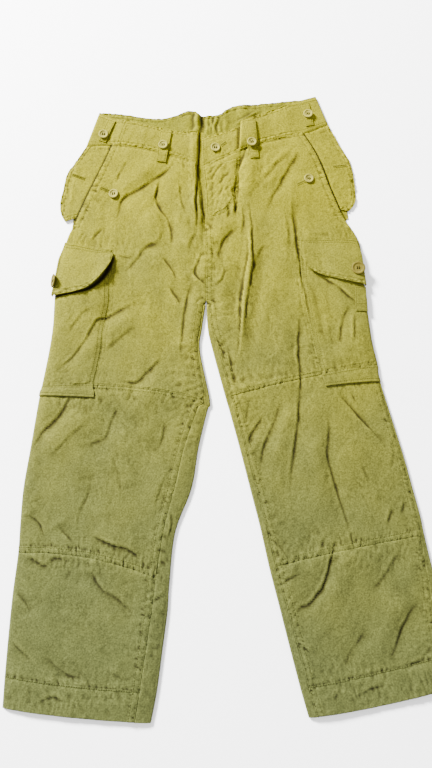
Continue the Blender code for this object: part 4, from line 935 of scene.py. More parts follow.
    def crumple(self, plan: Array) -> Array:
        """Washed cotton's crumple: warped noise in three sizes, with sharp valleys and sharp ridges.

        The lattice is longer down the leg than across it, so most wrinkles run down the leg.

        Args:
            plan: points (..., 2).

        Returns:
            The change in height at each point.
        """
        x, y = plan[..., 0], plan[..., 1]
        u = x + 12 * self.noise[0](x / 58, y / 71)
        v = y + 15 * self.noise[1](x / 63 + 9, y / 55)
        wide = self.noise[2](u / 33, v / 55)
        valleys = np.abs(self.noise[3](u / 17 + 5, v / 34))
        ridges = np.abs(self.noise[4]((u + 0.5 * v) / 10, (v - 0.4 * u) / 19))
        small = np.abs(self.noise[5](u / 5.5, v / 9.5))
        where = 0.65 + 0.8 * self.noise[6](x / 110 + 3, y / 130)
        fine = 1.0 * (valleys - 0.2) - 0.8 * (ridges - 0.2) - 0.45 * (small - 0.2)
        return CRUMPLE * (1.6 * wide + where * fine)

    def gathers(self, plan: Array) -> Array:
        """The short ridges across sewn bands, and the rays that fade out beside them."""
        total = np.zeros(plan.shape[:-1])
        for pucker in self.puckers:
            near = near_line(plan, pucker.line, 34.0)
            if not near.mask.any():
                continue
            width = abs(pucker.width)
            q = near.distance * near.side * np.sign(pucker.width)
            s = near.travelled
            jitter = 4.5 * self.noise[4](s / 15, 0 * s + 0.5) + 1.5 * self.noise[0](s / 6, q / 9)
            band = smoothstep((q + 2.5) / 3) * smoothstep((width + 4.5 - q) / 5)
            swell = 0.35 + 1.9 * np.abs(self.noise[5](s / 21, q / 30 + 7.5))
            even = np.sin(2 * math.pi * (s + 0.3 * q + jitter) / pucker.pitch)
            uneven = 2.6 * self.noise[6]((s + 0.35 * q) / (0.62 * pucker.pitch), q / 8 + 3.5)
            wave = 0.4 * even + uneven
            lift = pucker.height * swell * band * (wave - 0.3 * wave**2)
            needles = np.exp(-(((q - 2.0) / 1.1) ** 2)) + np.exp(-(((q - width + 2.0) / 1.1) ** 2))
            lift = lift - 0.4 * needles
            rays = self.noise[3](s / (1.5 * pucker.pitch), near.side * 0.3 + q / 60)
            fade = np.exp(-np.abs(q - width / 2) / 11)
            total[near.mask] += 1.25 * lift + 1.7 * pucker.ray * fade * rays
        return total

    def height(self, plan: Array, stiff: float = 0.0) -> Array:
        """The finished height.

        Args:
            plan: points (..., 2).
            stiff: 0 for one cloth, up to 1 for a doubled piece that bridges the fine creases.

        Returns:
            The height at each point.
        """
        edge = self.edge(plan)
        top = self.base(plan, edge)
        inside = smoothstep((edge + 1) / 9)
        fine = self.fine_creases(plan) + self.crumple(plan) + self.rumples(plan)
        top = top + (1 - stiff) * (inside * fine + smoothstep((edge + 1) / 4) * self.gathers(plan))
        floor = LOWEST_TOP + 0.35 * (top - LOWEST_TOP)
        return np.where(top < LOWEST_TOP, np.maximum(floor, LOWEST_TOP - 0.4), top)


# ---------------------------------------------------------------- cloth as a mesh


def unit(vectors: Array) -> Array:
    """The vectors made one long."""
    return vectors / np.maximum(np.linalg.norm(vectors, axis=-1, keepdims=True), 1e-9)


def grid_normals(points: Array) -> Array:
    """Normals of a grid: the cross product of its two central differences, rows running down the piece."""
    return unit(np.cross(np.gradient(points, axis=0), np.gradient(points, axis=1)))


def blurred(values: Array, radius: int) -> Array:
    """A grid averaged over a square of cells, with its border values repeated outwards."""
    for axis in (0, 1):
        pad = [(0, 0)] * values.ndim
        pad[axis] = (radius + 1, radius)
        total = np.cumsum(np.pad(values, pad, mode="edge"), axis=axis)
        size = values.shape[axis]
        high = np.take(total, np.arange(2 * radius + 1, 2 * radius + 1 + size), axis=axis)
        values = (high - np.take(total, np.arange(size), axis=axis)) / (2 * radius + 1)
    return values


def rubbed_and_shaded(z: Array, radius: int) -> Array:
    """Rubbing and painted shade of a face: 1 on ridges that stand above their neighbours, rubbed pale; -1.5
    in deep hollows, darkened by painted shade.
    """
    return np.clip((z - blurred(z, radius)) / RUB_AND_SHADE_HEIGHT, -1.5, 1)


class Wall(NamedTuple):
    """A closed wall of cloth before it is a mesh: both faces, its map, and its ridges rubbed pale and hollows
    darkened by painted shade.
    """

    outside: Array
    inside: Array
    present: Array
    wear: Array
    chart: Array

    def shaded(self, gap_shadow: Array | float) -> Wall:
        """The same wall darkened with painted shadow where it lies in an opening or a recess."""
        return self._replace(wear=np.minimum(self.wear, 1.0 - gap_shadow))


def path_chart(points: Array) -> Array:
    """A cloth's own map in millimetres: the lengths travelled across and down its grid."""
    across = np.linalg.norm(np.diff(points, axis=1), axis=-1)
    down = np.linalg.norm(np.diff(points, axis=0), axis=-1)
    u = np.concatenate([np.zeros((len(points), 1)), np.cumsum(across, axis=1)], axis=1)
    v = np.concatenate([np.zeros((1, points.shape[1])), np.cumsum(down, axis=0)], axis=0)
    return np.stack([u, -v], axis=-1)


def wall(outside: Array, thickness: Array | float, middle: bool = False) -> Wall:
    """Gives a grid of points its thickness along the grid's normals.

    Args:
        outside: the outer face (rows, columns, 3), or the middle of the wall.
        thickness: the wall, one number or one for each point.
        middle: whether the points are the middle of the wall.

    Returns:
        The wall.
    """
    normals = unit(blurred(grid_normals(outside), 1))
    if normals[..., 2].mean() < 0:
        normals = -normals
    step = normals * np.asarray(thickness)[..., None]
    outer, inner = (outside + step / 2, outside - step / 2) if middle else (outside, outside - step)
    present = np.ones((outside.shape[0] - 1, outside.shape[1] - 1), bool)
    return Wall(outer, inner, present, rubbed_and_shaded(outer[..., 2], 3), path_chart(outside))


def doubled(middle: Array, rim: Array) -> Wall:
    """The wall of a doubled piece round its middle, thin and rounded at its rim."""
    return wall(middle, THIN_RIM + (DOUBLE - THIN_RIM) * round_edge(rim / RIM_ROUNDING), middle=True)


def wall_faces(present: Array) -> Array:
    """Four-sided faces of both sides of a wall, and of its rim where a cell has no neighbour."""
    rows, columns = present.shape[0] + 1, present.shape[1] + 1
    shift = rows * columns
    i, j = np.nonzero(present)
    a = i * columns + j
    b, d = a + 1, a + columns
    c = d + 1
    faces = [np.stack([a, d, c, b], axis=1), np.stack([a, b, c, d], axis=1) + shift]
    padded = np.pad(present, 1)
    sides = (
        (padded[i, j + 1], a, b),
        (padded[i + 2, j + 1], c, d),
        (padded[i + 1, j], d, a),
        (padded[i + 1, j + 2], b, c),
    )
    for neighbour, start, end in sides:
        start, end = start[~neighbour], end[~neighbour]
        faces.append(np.stack([start, end, end + shift, start + shift], axis=1))
    return np.concatenate(faces)


def mesh_object(name: str, points: Array, faces: Array) -> Piece:
    """Puts points in millimetres and faces of one size into a new smooth mesh object at the origin."""
    mesh = bpy.data.meshes.new(name)
    placed = (np.asarray(points, float) + (CENTRE[0], CENTRE[1], 0.0)) * MM
    corners = faces.shape[1]
    mesh.vertices.add(len(placed))
    mesh.vertices.foreach_set("co", placed.astype(np.float32).ravel())
    mesh.loops.add(faces.size)
    mesh.loops.foreach_set("vertex_index", faces.astype(np.int32).ravel())
    mesh.polygons.add(len(faces))
    mesh.polygons.foreach_set("loop_start", np.arange(0, faces.size, corners, dtype=np.int32))
    mesh.update(calc_edges=True)
    mesh.validate()
    mesh.shade_smooth()
    made = bpy.data.objects.new(name, mesh)
    bpy.context.scene.collection.objects.link(made)
    return made


def ring_faces(count: int, sides: int) -> Array:
    """Four-sided faces of a closed tube from count rings of an even number of points."""
    i, j = np.meshgrid(np.arange(count - 1), np.arange(sides), indexing="ij")
    a, b = i * sides + j, i * sides + (j + 1) % sides
    body = np.stack([a, a + sides, b + sides, b], axis=-1).reshape(-1, 4)
    k = np.arange(1, sides - 2, 2)
    fan = np.stack([0 * k, k, k + 1, k + 2], axis=1)
    return np.concatenate([body, fan, fan[:, ::-1] + (count - 1) * sides])


def outwards(points: Array, faces: Array) -> Array:
    """Four-sided faces, all reversed where the volume that they close comes out negative."""
    a, b, c, d = (points[faces[:, k]] for k in range(4))
    volume = (a * np.cross(b, c)).sum() + (a * np.cross(c, d)).sum()
    return faces[:, ::-1] if volume < 0 else faces


def cloth_object(name: str, shell: Wall) -> Piece:
    """A mesh from a wall, with the map "cloth" in metres and the attribute "wear": rubbed ridges and painted
    shade in hollows.
    """
    points = np.concatenate([shell.outside.reshape(-1, 3), shell.inside.reshape(-1, 3)])
    faces = outwards(points, wall_faces(shell.present))
    used = np.unique(faces)
    number = np.zeros(len(points), int)
    number[used] = np.arange(len(used))
    made = mesh_object(name, points[used], number[faces])
    mesh = made.data
    wear = np.tile(shell.wear.ravel(), 2)[used].astype(np.float32)
    mesh.attributes.new("wear", "FLOAT", "POINT").data.foreach_set("value", wear)
    chart = np.tile(shell.chart.reshape(-1, 2), (2, 1))[used] * MM
    corners = np.empty(len(mesh.loops), np.int32)
    mesh.loops.foreach_get("vertex_index", corners)
    mesh.uv_layers.new(name="cloth").data.foreach_set("uv", chart[corners].astype(np.float32).ravel())
    return made


class Relief:
    """The highest cloth over each cell of the plan, filled in as the pieces are laid on."""

    def __init__(self, cell: float = 2.0) -> None:
        """Starts an empty map a little larger than the garment."""
        self.cell = cell
        self.low = np.array([-350.0, -545.0])
        self.top = np.zeros((352, 546))

    def cells(self, plan: Array) -> tuple[Array, Array]:
        """The cell numbers of points of the plan."""
        place = np.floor((plan - self.low) / self.cell).astype(int)
        return tuple(np.clip(place[..., k], 0, self.top.shape[k] - 1) for k in (0, 1))

    def stamp(self, points: Array) -> None:
        """Raises the map to these points."""
        np.maximum.at(self.top, self.cells(points[..., :2].reshape(-1, 2)), points[..., 2].ravel())

    def under(self, plan: Array, reach: float) -> Array:
        """The highest cloth within reach of each point, felt on rings of eight places round it."""
        best = self.top[self.cells(plan)]
        for radius in np.arange(self.cell, reach + 0.1, self.cell):
            for turn in np.arange(0, 2 * math.pi, math.pi / 4):
                shifted = plan + radius * np.array([math.cos(turn), math.sin(turn)])
                best = np.maximum(best, self.top[self.cells(shifted)])
        return best


# ---------------------------------------------------------------- finishes


class Recipe:
    """A material under construction: adds shader nodes and joins them."""

    def __init__(self, name: str) -> None:
        """Starts a new material that holds only its shader, its output and Object coordinates."""
        self.material = bpy.data.materials.new(name)
        self.material.use_nodes = True
        self.nodes = self.material.node_tree.nodes
        self.links = self.material.node_tree.links
        self.shader = self.nodes["Principled BSDF"]
        self.coordinates = self.add("ShaderNodeTexCoord").outputs["Object"]

    def add(self, kind: str, **settings: object) -> bpy.types.Node:
        """Adds a node and sets its own properties."""
        node = self.nodes.new(kind)
        for key, value in settings.items():
            setattr(node, key, value)
        return node

    def feed(self, socket: Socket, value: object) -> None:
        """Joins an output to a socket, or sets the socket to a number or colour."""
        if isinstance(value, Socket):
            self.links.new(value, socket)
        else:
            socket.default_value = value

    def shade(self, values: dict[str, object]) -> bpy.types.Material:
        """Feeds the shader's own sockets, which finishes the material."""
        for name, value in values.items():
            self.feed(self.shader.inputs[name], value)
        return self.material

    def split(self, vector: Socket) -> tuple[Socket, Socket]:
        """The first two numbers of a vector."""
        node = self.add("ShaderNodeSeparateXYZ")
        self.feed(node.inputs[0], vector)
        return node.outputs["X"], node.outputs["Y"]

    def stretched(self, scale: tuple) -> Socket:
        """Object coordinates, scaled along each axis."""
        node = self.add("ShaderNodeMapping")
        node.inputs["Scale"].default_value = scale
        self.feed(node.inputs[0], self.coordinates)
        return node.outputs[0]

    def noise(
        self, scale: float, detail: float, rough: float = 0.5, on: Socket | None = None, kind: str = "FBM"
    ) -> Socket:
        """Noise from 0 to 1 at this scale, on Object coordinates or on another vector."""
        node = self.add("ShaderNodeTexNoise", noise_type=kind)
        vector = self.coordinates if on is None else on
        settings = {"Scale": scale, "Detail": detail, "Roughness": rough, "Vector": vector}
        for name, value in settings.items():
            self.feed(node.inputs[name], value)
        return node.outputs["Fac"]

    def math(self, operation: str, first: object, second: object = 0.0) -> Socket:
        """A number worked out from two sockets or numbers."""
        node = self.add("ShaderNodeMath", operation=operation)
        self.feed(node.inputs[0], first)
        self.feed(node.inputs[1], second)
        return node.outputs[0]

    def ranged(self, value: Socket, low: float, high: float, to_low: float, to_high: float) -> Socket:
        """A number moved from one range to another, and held inside it."""
        node = self.add("ShaderNodeMapRange")
        settings = {"Value": value, "From Min": low, "From Max": high, "To Min": to_low, "To Max": to_high}
        for name, number in settings.items():
            self.feed(node.inputs[name], number)
        return node.outputs["Result"]

    def varied(self, noise: Socket, low: float, high: float) -> Socket:
        """Noise whose usual range is made to run from low to high."""
        return self.ranged(noise, *NOISE_RANGE, low, high)

    def mix(self, amount: object, first: object, second: object, blend: str = "MIX") -> Socket:
        """Two colours mixed by an amount."""
        node = self.add("ShaderNodeMix", data_type="RGBA", blend_type=blend)
        for number, value in ((0, amount), (6, first), (7, second)):
            self.feed(node.inputs[number], value)
        return node.outputs[2]

    def bump(self, height: Socket, distance: float, strength: float, before: Socket | None = None) -> Socket:
        """A bump on top of another one."""
        node = self.add("ShaderNodeBump")
        node.inputs["Distance"].default_value = distance
        node.inputs["Strength"].default_value = strength
        self.feed(node.inputs["Height"], height)
        if before is not None:
            self.feed(node.inputs["Normal"], before)
        return node.outputs["Normal"]


def rgb(red: float, green: float, blue: float) -> tuple[float, float, float, float]:
    """A linear colour with full alpha."""
    return (red, green, blue, 1.0)


def dye_with_falloff(r: Recipe, hem: tuple, waist: tuple) -> Socket:
    """Colour that runs unevenly from the waist's to the hem's, a little later on the left leg: partly the
    cotton's own change, partly painted shade where the light falls off towards the hem.
    """
    x, y = r.split(r.coordinates)
    later_on_left = r.math("MULTIPLY", x, r.ranged(y, *DYE_AND_FALLOFF_RANGE, 0.2, 0.0))
    down = r.math("ADD", y, r.varied(r.noise(7.0, 3.0), -0.09, 0.09))
    share = r.math("POWER", r.ranged(r.math("ADD", down, later_on_left), *DYE_AND_FALLOFF_RANGE, 0.0, 1.0), 1.6)
    return r.mix(share, hem, waist)


@dataclass(frozen=True)
class WashedCotton:
    """Cotton with garment dye: a dense plain weave, rubbed paler on ridges and seams, darker in the creases
    as painted shade, and nearly black in openings as painted shadow.
    """

    name: str = "washed_cotton"
    # the waist's and the hem's colour; the hem's is darker partly as painted shade of the light falling off
    waist: tuple = rgb(0.104, 0.0955, 0.0030)
    hem: tuple = rgb(0.0436, 0.0495, 0.0136)
    pale: tuple = rgb(1.36, 1.34, 1.3)  # these three multiply the ground: ridges rubbed paler, hollows darkened as painted shade, openings nearly black as painted shadow
    deep: tuple = rgb(0.27, 0.235, 0.19)
    gap_shadow: tuple = rgb(0.10, 0.09, 0.11)
    thread_pitch: float = 0.00075  # of the weave
    roughness: float = 0.86
    sheen: float = 0.01
    specular: float = 0.05

    def material(self) -> bpy.types.Material:
        """Builds the nodes."""
        r = Recipe(self.name)
        mottle = r.varied(r.noise(30.0, 4.0, 0.6), 0.88, 1.12)
        flecks = r.varied(r.noise(420.0, 2.0, 0.6), 0.64, 1.36)
        streaks = r.varied(r.noise(520.0, 3.0, 0.6, r.stretched((1.0, 0.09, 1.0))), 0.95, 1.05)
        value = r.math("MULTIPLY", r.math("MULTIPLY", mottle, flecks), streaks)
        grey = r.add("ShaderNodeCombineColor")
        for socket in grey.inputs:
            r.feed(socket, value)
        ground = r.mix(1.0, dye_with_falloff(r, self.hem, self.waist), grey.outputs[0], "MULTIPLY")
        wear = r.add("ShaderNodeAttribute", attribute_name="wear").outputs["Fac"]
        # ridges rubbed paler; hollows darkened as painted shade, and below -1 nearly black as the painted
        # shadow of an opening
        ground = r.mix(r.ranged(wear, 0.05, 0.9, 0.0, 1.0), ground, self.pale, "MULTIPLY")
        ground = r.mix(r.ranged(wear, -0.95, -0.05, 0.9, 0.0), ground, self.deep, "MULTIPLY")
        ground = r.mix(r.ranged(wear, -2.0, -1.0, 1.0, 0.0), ground, self.gap_shadow, "MULTIPLY")
        return r.shade({
            "Base Color": ground,
            "Roughness": r.varied(r.noise(60.0, 2.0), self.roughness - 0.05, self.roughness + 0.05),
            "Sheen Weight": self.sheen,
            "Sheen Roughness": 0.5,
            "Specular IOR Level": self.specular,
            "Normal": self.surface(r),
        })

    def surface(self, r: Recipe) -> Socket:
        """The bumps: a faint crepe, and over it the weave, sin(u) * sin(v) on the cloth's own map."""
        turns = 2 * math.pi / self.thread_pitch
        u, v = r.split(r.add("ShaderNodeUVMap", uv_map="cloth").outputs[0])
        warp, weft = (r.math("SINE", r.math("MULTIPLY", place, turns)) for place in (u, v))
        crinkle = r.noise(62.0, 5.0, 0.6, r.stretched((1.0, 0.75, 1.0)), "RIDGED_MULTIFRACTAL")
        crepe = r.bump(r.noise(190.0, 5.0, 0.62), 0.0010, 0.9, r.bump(crinkle, 0.0019, 0.6))
        return r.bump(r.math("MULTIPLY", warp, weft), 0.00006, 0.35, crepe)


@dataclass(frozen=True)
class SewingThread:
    """Matt polyester thread with a visible twist."""

    name: str = "sewing_thread"
    # the waist's and the hem's colour; the hem's is darker partly as painted shade of the light falling off
    waist: tuple = rgb(0.140, 0.130, 0.011)
    hem: tuple = rgb(0.062, 0.070, 0.018)
    between: tuple = rgb(0.45, 0.45, 0.45)  # multiplies the colour between the twists

    def material(self) -> bpy.types.Material:
        """Builds the nodes."""
        r = Recipe(self.name)
        twist = r.noise(1500.0, 2.0)
        ground = dye_with_falloff(r, self.hem, self.waist)
        return r.shade({
            "Base Color": r.mix(r.varied(twist, 0.0, 0.6), ground, self.between, "MULTIPLY"),
            "Roughness": 0.8,
            "Specular IOR Level": 0.03,
            "Normal": r.bump(twist, 0.0001, 0.5),
        })


@dataclass(frozen=True)
class Horn:
    """Button stuff with the cloudy streaks of horn, glossier on its rim than in its dish."""

    name: str
    light: tuple
    dark: tuple
    stretch: tuple = (1.0, 0.35, 1.0)
    roughness: float = 0.6

    def material(self) -> bpy.types.Material:
        """Builds the nodes."""
        r = Recipe(self.name)
        streaks = r.noise(260.0, 6.0, 0.65, r.stretched(self.stretch))
        clouds = r.varied(r.noise(90.0, 2.0), 0.4, 1.0)
        amount = r.math("MULTIPLY", r.ranged(streaks, 0.35, 0.68, 0.0, 1.0), clouds)
        return r.shade({
            "Base Color": r.mix(amount, self.light, self.dark),
            "Roughness": r.varied(streaks, self.roughness, self.roughness + 0.2),
            "Specular IOR Level": 0.04,
            "Normal": r.bump(r.noise(900.0, 3.0), 0.00008, 0.3),
        })


@dataclass(frozen=True)
class PaleFloor:
    """A plain pale studio floor with a trace of tooth."""

    name: str = "pale_floor"
    colour: tuple = rgb(0.97, 0.97, 0.97)
    tooth: tuple = rgb(0.95, 0.95, 0.95)

    def material(self) -> bpy.types.Material:
        """Builds the nodes."""
        r = Recipe(self.name)
        amount = r.varied(r.noise(120.0, 3.0), 0.0, 0.3)
        return r.shade({"Base Color": r.mix(amount, self.colour, self.tooth), "Roughness": 0.9})


# dark brown of the button thread, which also paints the shade in the buttonholes' slits
EYE_BROWN = rgb(0.0125, 0.0115, 0.001)


class Finish(Enum):
    """Each finish: the record's slot that it belongs to, and how its material is made."""

    COTTON = ("cloth", WashedCotton())
    INSIDE = ("cloth", WashedCotton("cotton_inside", rgb(0.086, 0.082, 0.003)))
    THREAD = ("cloth", SewingThread())
    HORN = ("horn_button", Horn("pale_horn", rgb(0.185, 0.167, 0.029), rgb(0.110, 0.097, 0.013)))
    TAN = ("tan_button", Horn("tan_horn", rgb(0.088, 0.074, 0.010), rgb(0.040, 0.031, 0.003)))
    THREAD_AND_SLIT_SHADE = ("cloth", SewingThread("button_thread_and_slit_shade", EYE_BROWN, EYE_BROWN))
    HOLE_SHADE = ("cloth", SewingThread("needle_hole_shade", rgb(0.034, 0.029, 0.002), rgb(0.015, 0.0165, 0.004)))

    def __init__(self, slot: str, stuff: WashedCotton | SewingThread | Horn) -> None:
        """Names the two parts."""
        self.slot = slot
        self.stuff = stuff


@dataclass
class Sewing:
    """Runs of small stitches, joined into one mesh."""

    name: str
    finish: Finish = Finish.THREAD
    pitch: float = 3.8
    length: float = 2.9
    radius: float = 0.4
    centres: list = field(default_factory=list)
    tangents: list = field(default_factory=list)
    holes: list = field(default_factory=list)
    headings: list = field(default_factory=list)

    def run(self, line: Array, lift: float = STITCH_LIFT) -> None:
        """Adds stitches along a line of points (n, 3), evenly spaced along it."""
        steps = np.linalg.norm(np.diff(line, axis=0), axis=1)
        travelled = np.concatenate([[0.0], np.cumsum(steps)])
        places = np.arange(self.pitch / 2, travelled[-1], self.pitch)
        if not len(places):
            return
        at, ahead, behind, between_two = (
            np.stack([np.interp(places + shift, travelled, line[:, k]) for k in range(3)], axis=-1)
            for shift in (0.0, 1.0, -1.0, self.pitch / 2)
        )
        self.centres.append(at + (0, 0, lift))
        self.tangents.append(unit(ahead - behind))
        self.holes.append(between_two + (0, 0, lift - STITCH_LIFT))
        self.headings.append(self.tangents[-1])

    def across(self, line: Array, pitch: float, lift: float) -> None:
        """Adds stitches that lie across a line of points (n, 3)."""
        count = max(int(np.linalg.norm(line[-1] - line[0]) / pitch), 2)
        at = catmull(line, np.linspace(0, len(line) - 1, count))
        sideways = unit(np.cross(unit(line[-1] - line[0]), UP))
        self.centres.append(at + (0, 0, lift))
        self.tangents.append(np.repeat(sideways[None], count, axis=0))

    def mesh(self) -> Piece:
        """Makes the stitches: each is a spindle of four sides."""
        centres, tangents = np.concatenate(self.centres), np.concatenate(self.tangents)
        sideways = unit(np.cross(tangents, UP))
        up = np.cross(sideways, tangents)
        angle = np.arange(4) * math.pi / 2
        section = sideways[:, None] * np.cos(angle)[:, None] + up[:, None] * np.sin(angle)[:, None]
        rings = ((-0.5, 0.35), (0.0, 1.0), (0.5, 0.35))  # place along it, and share of its radius
        points = np.stack([
            centres[:, None] + tangents[:, None] * (self.length * at) + self.radius * size * section
            for at, size in rings
        ], axis=1)
        spindle = ring_faces(len(rings), len(angle))
        shifts = points.shape[1] * points.shape[2] * np.arange(len(centres))[:, None, None]
        faces = (spindle[None] + shifts).reshape(-1, 4)
        points = points.reshape(-1, 3)
        return mesh_object(self.name, points, outwards(points, faces))

    def hole_shade_mesh(self) -> Piece:
        """Makes the painted shade of the holes that the needle left between the stitches: dark lozenges of
        eight faces.
        """
        centres, ahead = np.concatenate(self.holes), np.concatenate(self.headings)
        sideways = unit(np.cross(ahead, UP))
        up = np.cross(sideways, ahead)
        along, across, high = HOLE_SIZE
        arms = (along * ahead, across * sideways, -along * ahead, -across * sideways, high * up, -high * up)
        points = np.stack([centres + arm for arm in arms], axis=1)
        k = np.arange(4)
        upper = np.stack([(k + 1) % 4, k, 0 * k + 4], axis=1)
        lower = np.stack([k, (k + 1) % 4, 0 * k + 5], axis=1)
        shifts = len(arms) * np.arange(len(centres))[:, None, None]
        faces = np.concatenate([upper, lower])[None] + shifts
        return mesh_object(f"{self.name}_holes", points.reshape(-1, 3), faces.reshape(-1, 3))


class Workroom:
    """What every piece is made with: the finishes, the relief it is laid on and the needle."""

    def __init__(self) -> None:
        """Builds every material once, and starts with an empty relief and no stitches."""
        self.materials = {finish: finish.stuff.material() for finish in Finish}
        self.relief = Relief()
        self.topstitching = Sewing("stitches_bands_and_pockets")
        # the buttonholes' slits: runs of dark thread pieces that paint the shade in the cut
        self.slits = Sewing("buttonhole_slit_shade", Finish.THREAD_AND_SLIT_SHADE, pitch=1.9, length=2.6, radius=0.42)

    def dress(self, piece: Piece, finish: Finish, *nodes: str) -> Piece:
        """Gives a piece its material, lets it ride on the body and stand for solids.

        Args:
            piece: the new piece.
            finish: what it is made of.
            nodes: the CAD nodes that it stands for.

        Returns:
            The piece.
        """
        piece.data.materials.append(self.materials[finish])
        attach(piece, BODY)
        if nodes:
            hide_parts(*nodes)
        LOG.info("%s: %d faces", piece.name, len(piece.data.polygons))
        return piece

    def sheet(
        self, name: str, shell: Wall, flat: tuple, finish: Finish = Finish.COTTON
    ) -> Piece:
        """Makes a piece of cloth and works out an area, half the mesh's and kept inside the cut, which
        nothing uses.

        Args:
            name: the CAD node that it stands for.
            shell: its wall.
            flat: the cut's width and length.
            finish: what it is made of.

        Returns:
            The piece.
        """
        piece = self.dress(cloth_object(f"cloth_{name}", shell), finish, name)
        area = sum(face.area for face in piece.data.polygons) / 2
        width, length = flat[0] * MM, flat[1] * MM
        area = min(max(area / (width * length), LEAST_SHARE), 1.0) * width * length
        return piece

    def lay_doubled(self, middle: Array) -> None:
        """Raises the relief to the upper face of a doubled piece."""
        self.relief.stamp(middle + (0, 0, DOUBLE / 2))

    def rows(self, grid: Array, places: Array, wanted: Sequence[float], lift: float = DOUBLE / 2) -> None:
        """Stitches along a grid's rows at the given places, counted as the rows' places are."""
        for place in wanted:
            index = float(np.interp(place, places, np.arange(len(places))))
            k = int(min(index, len(places) - 2))
            self.topstitching.run(grid[k] + (grid[k + 1] - grid[k]) * (index - k), lift + STITCH_LIFT)

    def columns(self, grid: Array, places: Array, wanted: Sequence[float], lift: float = DOUBLE / 2) -> None:
        """Stitches along a grid's columns at the given places."""
        self.rows(grid.transpose(1, 0, 2), places, wanted, lift)

    def buttonhole(self, ends: tuple) -> None:
        """Works a buttonhole: a dark slit with stitches lying across it on both sides."""
        t = np.linspace(0, 1, 9)[:, None]
        start, end = np.array(ends, float)
        plan = start + (end - start) * t
        line = joined(plan, self.relief.under(plan, 2.0))
        # a run of dark pieces along the slit, painted shade of the cut
        self.slits.run(line, 0.1)
        aside = unit(np.array([start[1] - end[1], end[0] - start[0]]))
        for side in (-1, 1):
            self.topstitching.across(line + (*(side * BUTTONHOLE_WIDTH / 2 * aside), 0), 0.95, 0.3)

    def lay(self, sewing: Sewing) -> None:
        """Makes a sewing's stitches and the painted shade of the needle's holes between them."""
        self.dress(sewing.mesh(), sewing.finish)
        if sewing.finish is Finish.THREAD:
            self.dress(sewing.hole_shade_mesh(), Finish.HOLE_SHADE)

    def finish(self) -> None:
        """Makes the stitches gathered from all pieces."""
        for sewing in (self.topstitching, self.slits):
            self.lay(sewing)


# ---------------------------------------------------------------- how edges of the cloth end


def stitched(rim: Array, places: Sequence[float] = TOPSTITCH) -> Array:
    """The grooves under rows of stitches at these distances from an edge."""
    return -0.5 * sum(np.exp(-(((rim - place) / 0.75) ** 2)) for place in places)


def puckered(plan: Array, rim: Array, seed: int) -> Array:
    """Uneven dimples along a topstitched edge, gone about 14 mm inside it."""
    noise = GradientNoise(seed)
    x, y = plan[..., 0], plan[..., 1]
    dimples = noise(x / 4.4, y / 4.4) + 0.6 * noise(x / 8.5 + 5, y / 8.5)
    return 2.2 * np.exp(-((rim / 9.5) ** 2)) * dimples


class Lap(Enum):
    """How a piece ends at one of its edges."""

    OVER = "turned under and sewn on top of its neighbour"
    UNDER = "running on under its neighbour"
    FREE = "a free folded edge"
    SEWN = "one cloth with the next piece, and drawn in along the stitches between them"


OVER_STEPS = (0.0, 0.35, 0.9, 1.7)
UNDER_STEPS = (0.0, 1.5, 2.7, 3.7, 4.7)
FREE_STEPS = (0.0, 0.15, 0.5, 1.0, 1.7)
STITCHED_STEPS = (0.0, 0.15, 0.5, 1.0, 1.6, 2.2, 2.8, 3.6, 5.4, 7.2, 8.0, 8.8)
FOLD_RADIUS = 3.5
FOLD_STEPS = rounding(FOLD_RADIUS)
STEPS = {Lap.OVER: OVER_STEPS, Lap.UNDER: UNDER_STEPS, Lap.FREE: FREE_STEPS, Lap.SEWN: OVER_STEPS}


def lap_height(lap: Lap, inside: Array) -> Array:
    """How an edge lifts or sinks the cloth.

    Args:
        lap: how the piece ends.
        inside: the distance from the seam line, negative beyond it.

    Returns:
        The change in height: a raised fell with a turned rim, a step down under the neighbour, a
        hollow along the stitches, or a rounded free edge.
    """
    if lap is Lap.OVER:
        rim = 0.6 * (1 - round_edge(inside / 0.9))
        return FELL * smoothstep((FELL_WIDTH - inside) / 3.0) - rim
    if lap is Lap.UNDER:
        return -TUCKED * smoothstep((1.3 - inside) / 2.0)
    if lap is Lap.SEWN:
        return -0.55 * np.exp(-((inside / 1.7) ** 2))
    return -1.5 * (1 - round_edge(inside / 1.6))


def opening(plan: Array) -> Array:
    """Where the right pocket gapes under its flap's free edge, from 0 to 1: widest near the inner corner. The
    pocket's face sinks there, and it and the front beside it are darkened with painted shadow.
    """
    near = near_line(plan, curve(RIGHT_MOUTH), 20.0)
    swell = smoothstep(near.along / 0.25) * (1 - 0.75 * smoothstep((near.along - 0.3) / 0.5))
    sunk = np.zeros(plan.shape[:-1])
    sunk[near.mask] = np.exp(-((near.distance / (1.2 + 4.0 * swell)) ** 4)) * smoothstep(near.along / 0.08)
    return sunk


# ---------------------------------------------------------------- pieces of the legs


